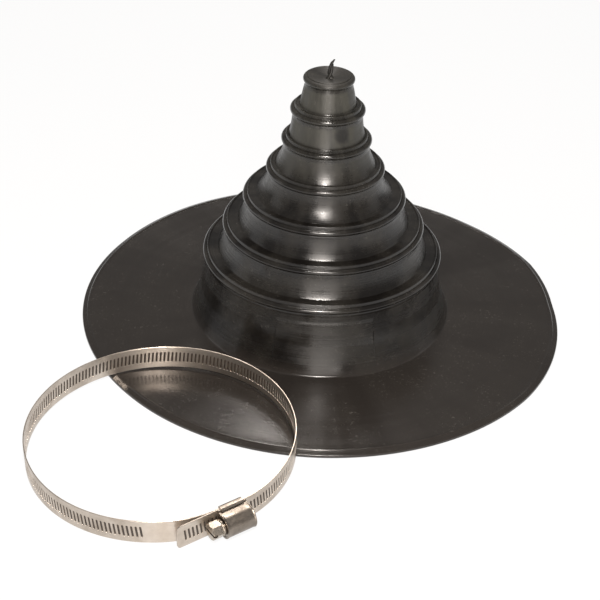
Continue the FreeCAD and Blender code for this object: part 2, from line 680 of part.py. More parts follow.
def make_screw():
    """The clamp's screw: slotted hexagon head, washer, neck, worm core and tip."""
    body = new_body("clamp_screw")
    wall_inside = f"({HALF_FLAT} - end_wall - worm_gap)"
    washer_back = f"({HALF_FLAT} + washer_gap)"
    head_base = f"({washer_back} + washer_thickness)"
    head_end = f"({head_base} + hex_height)"
    profile = [
        ("0", f"-{head_base}"),
        ("washer_radius", f"-{head_base}"),
        ("washer_radius", f"-{washer_back}"),
        ("neck_radius", f"-{washer_back}"),
        ("neck_radius", f"-{wall_inside}"),
        ("worm_core", f"-{wall_inside}"),
        ("worm_core", wall_inside),
        ("tip_radius", wall_inside),
        ("tip_radius", f"{HALF_FLAT} + tip_reach"),
        ("0", f"{HALF_FLAT} + tip_reach"),
    ]
    # The screw is made about its own axis, the body's Z, and laid into the clamp afterwards.
    sketch = new_sketch(body, "shank_section", "XZ_Plane")
    draw_outline(sketch, [Corner(r, along) for r, along in profile])
    revolve(body, "shank", sketch)

    sketch = new_sketch(body, "hexagon_outline", "XY_Plane")
    bind(sketch, "AttachmentOffset.Base.z", f"-{head_end}")
    across = "(hex_flats / sqrt(3))"
    draw_outline(sketch, [
        Corner(f"{across} * {x}", f"{across} * {y}")
        for x, y in (("1", "0"), ("0.5", "sqrt(3) / 2"), ("-0.5", "sqrt(3) / 2"),
                     ("-1", "0"), ("-0.5", "-sqrt(3) / 2"), ("0.5", "-sqrt(3) / 2"))
    ])
    pad(body, "hexagon", sketch, "hex_height")

    sketch = new_sketch(body, "corner_chamfer_section", "XZ_Plane")
    flat_radius, outside = "(hex_flats / 2)", "(hex_flats * 0.7)"
    slope = f"(hex_chamfer / ({across} - {flat_radius}))"
    draw_outline(sketch, [
        Corner(flat_radius, f"-{head_end}"),
        Corner(flat_radius, f"-{head_end} - hex_chamfer"),
        Corner(outside, f"-{head_end} - hex_chamfer"),
        Corner(outside, f"-{head_end} + ({outside} - {flat_radius}) * {slope}"),
    ])
    revolve(body, "corner_chamfer", sketch, "PartDesign::Groove")

    sketch = new_sketch(body, "drive_slot_outline", "XY_Plane")
    bind(sketch, "AttachmentOffset.Base.z", f"-{head_end}")
    draw_outline(sketch, [
        Corner("-hex_flats", "-drive_slot_width / 2"),
        Corner("hex_flats", "-drive_slot_width / 2"),
        Corner("hex_flats", "drive_slot_width / 2"),
        Corner("-hex_flats", "drive_slot_width / 2"),
    ])
    pocket(body, "drive_slot", sketch, "drive_slot_depth")
    return body


def clamp_placement():
    """Where the clamp lies: propped on the flange's rim at two points, its far side on the ground.

    The band's lower edge is a circle in a plane. The plane passes over the flange's raised line
    where the two circles cross, seen from above, and comes down to the ground at the point of
    the band that is farthest from the boot.
    """
    x, y = value_of("clamp_right"), value_of("clamp_back")
    away = math.hypot(x, y)
    rim, ring = value_of("flange_radius - border_ridge_inset"), value_of("band_radius")
    crossing = (away ** 2 + rim ** 2 - ring ** 2) / (2 * away)
    slope = value_of("flange_thickness + border_ridge_height") / (away + ring - crossing)
    height = value_of("rest_gap") + slope * ring
    outwards = FreeCAD.Vector(x / away, y / away, 0)
    hinge = FreeCAD.Vector(-outwards.y, outwards.x, 0)
    tilt = FreeCAD.Rotation(hinge, math.degrees(math.atan(slope)))
    turn = FreeCAD.Rotation(FreeCAD.Vector(0, 0, 1), value_of("clamp_turn"))
    return FreeCAD.Placement(FreeCAD.Vector(x, y, height), tilt.multiply(turn))


def screw_placement():
    """The screw's own Z laid along the clamp's Y, on the screw axis."""
    lay = FreeCAD.Rotation(FreeCAD.Vector(1, 0, 0), -90)
    return FreeCAD.Placement(FreeCAD.Vector(value_of(SCREW_AXIS), 0, value_of(MID_WIDTH)), lay)


# ---------------------------------------------------------------- the whole part

def check(bodies):
    """Stop if any object failed, or a sub-part is empty or not a valid solid."""
    for thing in doc.Objects:
        if {"Invalid", "Error"} & set(thing.State):
            raise RuntimeError(f"{thing.Name} failed: {thing.State}")
    for body in bodies:
        if body.Shape.isNull() or not body.Shape.isValid() or len(body.Shape.Solids) != 1:
            raise RuntimeError(f"{body.Label} isn't one valid solid")


def check_cuts():
    """Stop if a pocket or groove took nothing away."""
    for thing in doc.Objects:
        if thing.TypeId in ("PartDesign::Pocket", "PartDesign::Groove"):
            if thing.Shape.Volume > thing.BaseFeature.Shape.Volume - NOTHING:
                raise RuntimeError(f"{thing.Name} cuts nothing")


def main():
    boot = make_boot()
    clamp = [make_band(), make_saddle(), make_housing()]
    screw = make_screw()
    for body in clamp:
        body.Placement = clamp_placement()
    screw.Placement = clamp_placement().multiply(screw_placement())
    doc.recompute()

    bodies = [boot, *clamp, screw]
    check(bodies)
    check_cuts()
    os.makedirs("parts", exist_ok=True)
    for body in bodies:
        body.Shape.exportStep(f"parts/{body.Label}.step")
        box = body.Shape.BoundBox
        print(f"{body.Label}: {body.Shape.Volume:.1f} mm3, z {box.ZMin:.2f} to {box.ZMax:.2f}")


main()
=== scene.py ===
"""Stepped rubber pipe boot with its worm-drive clamp: surfaces, finishes, light and camera."""
import logging
import math
from dataclasses import dataclass, field
from enum import Enum
from typing import Callable, Optional, Sequence

import bmesh
import bpy
import numpy as np
from mathutils import Matrix, Vector


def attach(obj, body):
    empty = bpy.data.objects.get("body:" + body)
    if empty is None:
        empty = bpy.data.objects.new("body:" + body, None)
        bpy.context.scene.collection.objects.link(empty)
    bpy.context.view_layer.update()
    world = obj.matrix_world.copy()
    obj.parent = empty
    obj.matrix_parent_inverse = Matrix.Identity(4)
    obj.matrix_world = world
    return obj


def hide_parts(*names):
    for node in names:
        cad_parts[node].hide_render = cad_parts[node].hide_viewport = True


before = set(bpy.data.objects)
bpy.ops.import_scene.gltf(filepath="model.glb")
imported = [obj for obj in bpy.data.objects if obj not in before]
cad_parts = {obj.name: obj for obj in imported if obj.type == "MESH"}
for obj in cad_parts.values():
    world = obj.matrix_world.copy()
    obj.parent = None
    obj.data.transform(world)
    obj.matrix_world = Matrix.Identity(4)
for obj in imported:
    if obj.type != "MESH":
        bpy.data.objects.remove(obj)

log = logging.getLogger("pipe_boot")

Array = np.ndarray
Socket = bpy.types.NodeSocket
Material = bpy.types.Material
Corner = tuple[float, float, float]
Lift = Callable[[Array, Array], Array]
MILLIMETRE = 0.001
MOST_CELLS = 400  # more cells than the strip has room for; those past its ends are dropped


class Body(Enum):
    """The bodies of the frame that pieces ride on."""

    STILL = "boot_and_clamp"
    SCREW = "screw"


class Slot(Enum):
    """The record's material slots."""

    BOOT = "boot_rubber"
    BAND = "band_steel"
    SADDLE = "saddle_steel"
    HOUSING = "housing_steel"
    SCREW = "screw_steel"


# ------------------------------------------------------------------ shapes


def smoothstep(low: float, high: float, values: Array) -> Array:
    """Ease from 0 at low to 1 at high by 3 t^2 - 2 t^3.

    Args:
        low: where the ease starts.
        high: where it ends.
        values: where it is read.

    Returns:
        The eased values, from 0 to 1.
    """
    t = np.clip((values - low) / (high - low), 0.0, 1.0)
    return t * t * (3.0 - 2.0 * t)


def rounded_path(points: Sequence[Corner], arc_points: int = 6) -> Array:
    """A path of straight lines whose corners are rounded.

    A corner's arc touches both lines at radius / tan(half the angle between them) from it.

    Args:
        points: each corner's two places and its radius, 0 for a sharp one.
        arc_points: how many points each arc has.

    Returns:
        The path's points, one a row.
    """
    rows = []
    for index, (x, y, radius) in enumerate(points):
        here = np.array([x, y])
        if radius <= 0.0 or index in (0, len(points) - 1):
            rows.append(here)
            continue
        back = np.array(points[index - 1][:2]) - here
        ahead = np.array(points[index + 1][:2]) - here
        reach = min(np.linalg.norm(back), np.linalg.norm(ahead)) * 0.98
        back, ahead = back / np.linalg.norm(back), ahead / np.linalg.norm(ahead)
        half = math.acos(float(np.clip(back @ ahead, -1.0, 1.0))) / 2.0
        tangent = min(radius / math.tan(half), reach)
        radius = tangent * math.tan(half)
        centre = here + (back + ahead) / np.linalg.norm(back + ahead) * (radius / math.sin(half))
        start, end = here + back * tangent - centre, here + ahead * tangent - centre
        first = math.atan2(start[1], start[0])
        turn = (math.atan2(end[1], end[0]) - first + math.pi) % (2.0 * math.pi) - math.pi
        angles = first + turn * np.linspace(0.0, 1.0, arc_points)
        rows.extend(centre + radius * np.stack([np.cos(angles), np.sin(angles)], axis=1))
    return np.array(rows)


def split_lengths(path: Array, longest: float) -> Array:
    """Add points along a path, evenly, so that no length of it is longer than a limit.

    Args:
        path: the path's points, one a row.
        longest: the limit.

    Returns:
        The path with its added points.
    """
    rows = [path[:1]]
    for start, end in zip(path[:-1], path[1:]):
        count = max(1, int(math.ceil(np.linalg.norm(end - start) / longest)))
        rows.append(start + (end - start) * (np.arange(1, count + 1) / count)[:, None])
    return np.concatenate(rows)


def grid_faces(rows: int, columns: int, round_rows: bool = False, round_columns: bool = False) -> Array:
    """The four corners of each face of a grid: (i, j), (i, j+1), (i+1, j+1), (i+1, j).

    Args:
        rows: points down the grid.
        columns: points across it.
        round_rows: whether the last row meets the first.
        round_columns: whether the last column meets the first.

    Returns:
        One face a row, as point numbers.
    """
    i = np.arange(rows if round_rows else rows - 1)
    j = np.arange(columns if round_columns else columns - 1)
    i, j = [a.ravel() for a in np.meshgrid(i, j, indexing="ij")]
    below, right = (i + 1) % rows, (j + 1) % columns
    corners = [i * columns + j, i * columns + right, below * columns + right, below * columns + j]
    return np.stack(corners, axis=1)


@dataclass
class Surface:
    """Points and faces in the making, in millimetres."""

    points: list[Array] = field(default_factory=list)
    faces: list[list[int]] = field(default_factory=list)
    count: int = 0

    def add(self, points: Array, faces: Array) -> int:
        """Add points and faces that number them from 0.

        Args:
            points: one point a row.
            faces: one face a row.

        Returns:
            The number of the first point added.
        """
        first = self.count
        self.points.append(np.asarray(points, float).reshape(-1, 3))
        self.count += len(self.points[-1])
        self.faces.extend((np.asarray(faces) + first).tolist())
        return first

    def add_points(self, points: Array) -> int:
        """Add points whose faces come later, and give the number of the first."""
        return self.add(points, np.zeros((0, 4), int))

    def add_grid(self, grid: Array, round_rows: bool = False, round_columns: bool = False) -> int:
        """Add a grid of points, rows by columns by three, with its faces."""
        rows, columns = grid.shape[:2]
        return self.add(grid, grid_faces(rows, columns, round_rows, round_columns))

    def cap(self, ring: Sequence[int], centre: Array) -> None:
        """Close a ring with a fan round one more point.

        Args:
            ring: the ring's point numbers, in order.
            centre: where the one more point is.
        """
        middle = self.add_points(centre)
        ring = list(ring)
        self.faces.extend([[a, b, middle] for a, b in zip(ring, ring[1:] + ring[:1])])

    def close_strip_end(self, first: int, count: int) -> None:
        """Close the end of a strip whose ring has two faces and two bevelled edges.

        Args:
            first: the ring's first point.
            count: how many points each face has.
        """
        number = np.arange(count)
        front, back = first + number, first + 2 * count + 1 - number
        self.faces.extend(np.stack([front[:-1], front[1:], back[1:], back[:-1]], axis=-1).tolist())
        self.faces.append([first + count + step for step in (-1, 0, 1, 2)])
        self.faces.append([first, *(first + 2 * count + step for step in (1, 2, 3))])

    def add_lathe(self, rings: Array, centres: tuple[Array, Array]) -> None:
        """Add closed rings in order, with a fan over the first and the last.

        Args:
            rings: rings by points by three.
            centres: the middle of the first and the last fan.
        """
        first = self.add_grid(rings, round_columns=True)
        rows, columns = rings.shape[:2]
        self.cap(range(first, first + columns), centres[0])
        self.cap(range(first + (rows - 1) * columns, first + rows * columns), centres[1])


@dataclass(frozen=True)
class Placing:
    """A turn and a shift that lay a sub-assembly in the frame."""

    turn: Matrix
    shift: Vector

    def apply(self, points: Array) -> Array:
        """The points turned, then shifted."""
        return points @ np.array(self.turn).T + np.array(self.shift)


def make_piece(
    name: str,
    surface: Surface,
    body: Body,
    finish: Material,
    sharp_angle: float = 38.0,
    placing: Optional[Placing] = None,
    along: Optional[Array] = None,
) -> bpy.types.Object:
    """Make a mesh object of a surface and let it ride on a body.

    Args:
        name: the piece's name.
        surface: its points and faces, in millimetres.
        body: what it rides on.
        finish: its material.
        sharp_angle: faces that meet at more degrees than this keep a sharp edge.
        placing: how it is laid in the frame.
        along: each point's place in the piece's own two-way map, in metres.

    Returns:
        The object.
    """
    points = np.concatenate(surface.points)
    if placing is not None:
        points = placing.apply(points)
    mesh = bpy.data.meshes.new(name)
    mesh.from_pydata((points * MILLIMETRE).tolist(), [], surface.faces)
    if along is not None:
        corners = np.zeros(len(mesh.loops), dtype=np.int32)
        mesh.loops.foreach_get("vertex_index", corners)
        mesh.uv_layers.new(name="along").data.foreach_set("uv", along[corners].astype(np.float32).ravel())
    shell = bmesh.new()
    shell.from_mesh(mesh)
    bmesh.ops.recalc_face_normals(shell, faces=shell.faces)
    shell.to_mesh(mesh)
    shell.free()
    mesh.shade_smooth()
    mesh.set_sharp_from_angle(angle=math.radians(sharp_angle))
    mesh.materials.append(finish)
    piece = bpy.data.objects.new(name, mesh)
    bpy.context.scene.collection.objects.link(piece)
    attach(piece, body.value)
    log.info("%s: %d points, %d faces, rides on %s", name, len(points), len(surface.faces), body.value)
    return piece


# ------------------------------------------------------------------ finishes


class Nodes:
    """A material's nodes, added and joined by short calls."""

    def __init__(self, name: str) -> None:
        """Start an empty material with its output.

        Args:
            name: the material's name.
        """
        self.material = bpy.data.materials.new(name)
        self.material.use_nodes = True
        self.tree = self.material.node_tree
        self.tree.nodes.clear()
        self.output = self.tree.nodes.new("ShaderNodeOutputMaterial")

    def fill(self, socket: Socket, value: object) -> None:
        """Give a socket a value, or join another node's output to it.

        Args:
            socket: the input to fill.
            value: the value or the output.
        """
        if isinstance(value, Socket):
            self.tree.links.new(value, socket)
        else:
            socket.default_value = value

    def add(self, kind: str, settings: Optional[dict] = None, **sockets: object) -> bpy.types.Node:
        """Add a node.

        Args:
            kind: the node's type after "ShaderNode".
            settings: its own properties.
            sockets: its inputs, by name with _ for a space, or by number as n0, n1: a value or
                another node's output.

        Returns:
            The node.
        """
        node = self.tree.nodes.new("ShaderNode" + kind)
        for key, value in (settings or {}).items():
            setattr(node, key, value)
        for key, value in sockets.items():
            number = key[1:]
            socket = node.inputs[int(number)] if number.isdigit() else node.inputs[key.replace("_", " ")]
            self.fill(socket, value)
        return node

    def math(self, operation: str, first: object, second: object = 0.0, third: object = 0.0) -> Socket:
        """The result of a sum on two or three values."""
        return self.add("Math", {"operation": operation}, n0=first, n1=second, n2=third).outputs[0]

    def times(self, first: object, second: object) -> Socket:
        """The product of two values."""
        return self.math("MULTIPLY", first, second)

    def plus(self, first: object, second: object) -> Socket:
        """The sum of two values."""
        return self.math("ADD", first, second)

    def minus(self, first: object, second: object) -> Socket:
        """The first value less the second."""
        return self.math("SUBTRACT", first, second)

    def weighted(self, first: Socket, second: Socket, share: float) -> Socket:
        """A share of the first value and the rest of the second."""
        return self.plus(self.times(first, share), self.times(second, 1.0 - share))

    def ramp(self, value: Socket, low: float, high: float, first: float, last: float) -> Socket:
        """A value carried from the range low..high to first..last, held at its ends."""
        node = self.add("MapRange", {"clamp": True}, n0=value, n1=low, n2=high, n3=first, n4=last)
        return node.outputs[0]

    def mix(self, share: object, first: object, second: object) -> Socket:
        """Two colours mixed by a share.

        Args:
            share: 0 for the first alone, 1 for the second alone.
            first: a colour, or a node's output.
            second: the same.

        Returns:
            The mixed colour.
        """
        node = self.tree.nodes.new("ShaderNodeMix")
        node.data_type = "RGBA"
        for socket, value in zip((node.inputs[0], node.inputs[6], node.inputs[7]), (share, first, second)):
            self.fill(socket, value)
        return node.outputs[2]

    def noise(self, vector: Socket, scale: float, detail: float = 3.0, roughness: float = 0.5) -> Socket:
        """Soft noise, about 0 to 1."""
        return self.add("TexNoise", Vector=vector, Scale=scale, Detail=detail, Roughness=roughness).outputs[0]

    def object_place(self) -> Socket:
        """Object coordinates, in metres."""
        return self.add("TexCoord").outputs["Object"]

    def finish(self, surface: Socket) -> Material:
        """Join the shader to the output and give the material."""
        self.tree.links.new(surface, self.output.inputs["Surface"])
        return self.material


@dataclass(frozen=True)
class MouldedRubber:
    """Black rubber from a mould turned on a lathe: glossy, with fine rings that draw highlights
    out up the walls and across the flange, rubbed patches and a little dust."""

    name: str = "moulded_rubber"
    dark: tuple[float, float, float] = (0.0052, 0.0044, 0.0038)
    pale: tuple[float, float, float] = (0.0165, 0.0148, 0.0125)
    # Pale grey of the upper walls: partly the rubber's own bloom, partly a painted reflection of the pale
    # floor.
    bloom: tuple[float, float, float] = (0.047, 0.046, 0.038)
    dust: tuple[float, float, float] = (0.085, 0.08, 0.072)
    flat: tuple[float, float, float] = (0.024, 0.0205, 0.018)
    flange_smooth: float = 0.10
    flange_rough: float = 0.24
    wall_smooth: float = 0.19
    wall_rough: float = 0.40
    bloom_rough: float = 0.30
    cap_rough: float = 0.22
    wall_low: float = 0.004
    wall_high: float = 0.012
    edge: float = 0.001
    cap_height: float = 0.1712
    gate_height: float = 0.1745
    lowest_bead: float = 0.0468
    step_rise: float = 0.0207
    bead_gloss: float = 0.12
    index: float = 1.5
    smudge_place: tuple[float, float, float] = (0.0105, -0.0235, 0.1425)
    smudge_reach: float = 0.0062
    # Heights over which the pale bloom and its painted reflection come in.
    bloom_low: float = 0.108
    bloom_high: float = 0.142
    stretch: float = 0.7

    def build(self) -> Material:
        """The material: noise round the cone's axis for colour, roughness and bump.

        The rings are noise of the distance from the axis and the height alone. Roughness goes from the
        flange's to the walls' with height. A pale, matt bloom comes in up the cone, on the walls and hardly
        on the beads, which stay darker and glossier: partly the rubber's own grey, partly a painted
        reflection of the pale floor.

        Returns:
            The material.
        """
        n = Nodes(self.name)
        place = n.object_place()
        parts = n.add("SeparateXYZ", Vector=place)
        up = parts.outputs[2]
        flat = n.add("CombineXYZ", X=parts.outputs[0], Y=parts.outputs[1], Z=0.0)
        away = n.add("VectorMath", {"operation": "LENGTH"}, n0=flat.outputs[0])
        round_axis = n.add("VectorMath", {"operation": "NORMALIZE"}, n0=flat.outputs[0])
        ring_place = n.add("CombineXYZ", X=away.outputs["Value"], Y=0.0, Z=up)
        rings = n.noise(ring_place.outputs[0], 900.0, 2.0, 0.7)
        lifted = n.add("CombineXYZ", X=0.0, Y=0.0, Z=n.times(up, 9.0)).outputs[0]
        rubbed_place = n.add("VectorMath", {"operation": "ADD"}, n0=round_axis.outputs[0], n1=lifted)
        rubbed = n.noise(rubbed_place.outputs[0], 3.2, 5.0, 0.62)
        clouds = n.noise(place, 30.0, 4.0, 0.6)
        grain = n.noise(place, 1500.0, 2.0, 0.6)
        speck = n.noise(place, 520.0, 3.0, 0.75)
        on_wall = n.ramp(up, self.wall_low, self.wall_high, 0.0, 1.0)
        on_cap = n.ramp(up, self.cap_height, self.cap_height + self.edge, 0.0, 1.0)
        on_bead = n.times(self.near_bead(n, up), on_wall)
        # The pale bloom up the cone: partly the rubber's own grey, partly a painted reflection of the pale
        # floor.
        bloom = self.bloomed(n, up, rubbed, on_bead)

        tone = n.ramp(n.weighted(rubbed, clouds, 0.5), 0.42, 0.58, 0.0, 1.0)
        colour = n.mix(tone, (*self.dark, 1.0), (*self.pale, 1.0))
        colour = n.mix(n.ramp(on_wall, 0.0, 1.0, 0.7, 0.0), colour, (*self.flat, 1.0))
        # Paint the pale bloom, which is partly a painted reflection of the pale floor.
        colour = n.mix(bloom, colour, (*self.bloom, 1.0))
        colour = n.mix(self.smudged(n, place, clouds), colour, (*self.dark, 1.0))
        dusty = n.times(n.ramp(speck, 0.6, 0.74, 0.0, 0.7), n.ramp(clouds, 0.45, 0.6, 0.15, 1.0))
        colour = n.mix(dusty, colour, (*self.dust, 1.0))

        smooth = n.ramp(on_wall, 0.0, 1.0, self.flange_smooth, self.wall_smooth)
        rough = n.ramp(on_wall, 0.0, 1.0, self.flange_rough, self.wall_rough)
        worn = n.ramp(n.weighted(rubbed, rings, 0.6), 0.38, 0.62, 0.0, 1.0)
        roughness = n.add("MapRange", n0=worn, n1=0.0, n2=1.0, n3=smooth, n4=rough).outputs[0]
        matt = n.plus(n.times(bloom, self.bloom_rough), n.times(on_cap, self.cap_rough))
        gloss = n.times(n.minus(on_bead, on_cap), self.bead_gloss)
        roughness = n.minus(n.plus(roughness, matt), n.math("MAXIMUM", gloss, 0.0))

        height = n.plus(n.times(rings, 0.7), n.times(grain, 0.5))
        bump = n.add("Bump", Strength=0.5, Distance=0.00014, Height=height)
        tangent = n.add("Tangent", {"direction_type": "RADIAL", "axis": "Z"})
        sockets = {"Normal": bump.outputs[0], "Tangent": tangent.outputs[0]}
        shader = n.add("BsdfPrincipled", Base_Color=colour, Roughness=roughness, **sockets)
        shader.inputs["IOR"].default_value = self.index
        shader.inputs["Anisotropic"].default_value = self.stretch
        shader.inputs["Anisotropic Rotation"].default_value = 0.25
        return n.finish(shader.outputs[0])

    def near_bead(self, n: Nodes, up: Socket) -> Socket:
        """How near a place is to the height of a bead's middle.

        The height over the lowest bead is counted in steps, and the distance to the nearest
        whole step is taken.

        Args:
            n: the material's nodes.
            up: the height.

        Returns:
            1 on a bead, 0 off it.
        """
        steps_up = n.math("DIVIDE", n.minus(up, self.lowest_bead), self.step_rise)
        off_bead = n.math("ABSOLUTE", n.minus(steps_up, n.math("ROUND", steps_up)))
        return n.ramp(off_bead, 0.16, 0.25, 1.0, 0.0)

    def bloomed(self, n: Nodes, up: Socket, rubbed: Socket, on_bead: Socket) -> Socket:
        """How strong the pale bloom is: partly the rubber's own grey, partly a painted reflection of the pale
        floor.

        Args:
            n: the material's nodes.
            up: the height.
            rubbed: the noise of the rubbed patches.
            on_bead: 1 on the beads, where little of the pale bloom and painted reflection is left.

        Returns:
            The share of the pale bloom and painted reflection: it rises up the cone, in patches, and stops
            under the gate.
        """
        risen = n.ramp(up, self.bloom_low, self.bloom_high, 0.0, 0.85)
        patchy = n.times(risen, n.ramp(rubbed, 0.3, 0.6, 0.45, 1.0))
        below_gate = n.ramp(up, self.gate_height, self.gate_height + self.edge, 1.0, 0.0)
        off_bead = n.minus(1.0, n.times(on_bead, 0.75))
        return n.times(n.times(patchy, off_bead), below_gate)

    def smudged(self, n: Nodes, place: Socket, clouds: Socket) -> Socket:
        """How strong the dark smudge is: it fades with the distance from its middle.

        Args:
            n: the material's nodes.
            place: the place in the object.
            clouds: noise that makes the smudge's edge ragged.

        Returns:
            The smudge's share.
        """
        away = n.add("VectorMath", {"operation": "DISTANCE"}, n0=place, n1=self.smudge_place)
        ragged = n.plus(away.outputs["Value"], n.ramp(clouds, 0.3, 0.7, -0.003, 0.003))
        return n.ramp(ragged, self.smudge_reach * 0.6, self.smudge_reach, 0.8, 0.0)


@dataclass(frozen=True)
class RolledSteel:
    """Stainless steel strip or sheet: bright, with fine lines along the way it was rolled."""

    name: str
    bright: tuple[float, float, float] = (0.63, 0.56, 0.49)
    dull: tuple[float, float, float] = (0.42, 0.36, 0.30)
    smooth: float = 0.30
    rough: float = 0.44
    mapped: bool = False
    stretch: float = 0.7

    def build(self) -> Material:
        """The material: lines from noise drawn out along the piece's map, or clouds without one.

        Returns:
            The material.
        """
        n = Nodes(self.name)
        place = n.object_place()
        sockets = {}
        if self.mapped:
            along = n.add("UVMap", {"uv_map": "along"})
            drawn_out = n.add("Mapping", Vector=along.outputs[0], n3=(30.0, 2600.0, 1.0))
            lines = n.noise(drawn_out.outputs[0], 1.0, 3.0, 0.6)
            sockets["Tangent"] = n.add("Tangent", {"direction_type": "UV_MAP", "uv_map": "along"}).outputs[0]
        else:
            lines = n.noise(place, 700.0, 3.0, 0.6)
        clouds = n.noise(place, 90.0, 3.0, 0.6)
        stain = n.ramp(clouds, 0.35, 0.7, 0.0, 0.8)
        colour = n.mix(stain, (*self.bright, 1.0), (*self.dull, 1.0))
        worn = n.weighted(lines, clouds, 0.5)
        roughness = n.ramp(worn, 0.35, 0.65, self.smooth, self.rough)
        sockets["Normal"] = n.add("Bump", Strength=0.15, Distance=0.0001, Height=lines).outputs[0]
        shader = n.add("BsdfPrincipled", Base_Color=colour, Roughness=roughness, Metallic=1.0, **sockets)
        if self.mapped:
            shader.inputs["Anisotropic"].default_value = self.stretch
            shader.inputs["Anisotropic Rotation"].default_value = 0.25
        return n.finish(shader.outputs[0])


@dataclass(frozen=True)
class SlotShadeSheet:
    """A dark sheet that bridges the band's slots: painted shade that darkens them."""

    name: str = "slot_painted_shade"
    colour: tuple[float, float, float] = (0.042, 0.030, 0.021)
    darker: tuple[float, float, float] = (0.018, 0.013, 0.010)

    def build(self) -> Material:
        """The material: two browns mixed by fine noise, for the painted shade in the slots.

        Returns:
            The material.
        """
        n = Nodes(self.name)
        share = n.ramp(n.noise(n.object_place(), 900.0, 3.0, 0.6), 0.35, 0.65, 0.0, 1.0)
        colour = n.mix(share, (*self.colour, 1.0), (*self.darker, 1.0))
        shader = n.add("BsdfPrincipled", Base_Color=colour, Roughness=0.55)
        return n.finish(shader.outputs[0])


@dataclass(frozen=True)
class PaleFloor:
    """A pale floor that shows white and keeps a soft shadow."""

    name: str = "pale_floor"
    own_light: float = 0.86

    def build(self) -> Material:
        """The material: its own white for the camera and for mirrors, mixed with plain paint.

        Returns:
            The material.
        """
        n = Nodes(self.name)
        rays = n.add("LightPath")
        seen = n.math("MAXIMUM", rays.outputs["Is Camera Ray"], rays.outputs["Is Glossy Ray"])
        seen = n.math("MAXIMUM", seen, rays.outputs["Is Transmission Ray"])
        share = n.times(seen, self.own_light)
        paint = n.add("BsdfDiffuse", Color=(0.8, 0.8, 0.8, 1.0))
        light = n.add("Emission", Color=(1.0, 1.0, 1.0, 1.0), Strength=1.0)
        both = n.add("MixShader", n0=share, n1=paint.outputs[0], n2=light.outputs[0])
        return n.finish(both.outputs[0])


# ------------------------------------------------------------------ the boot


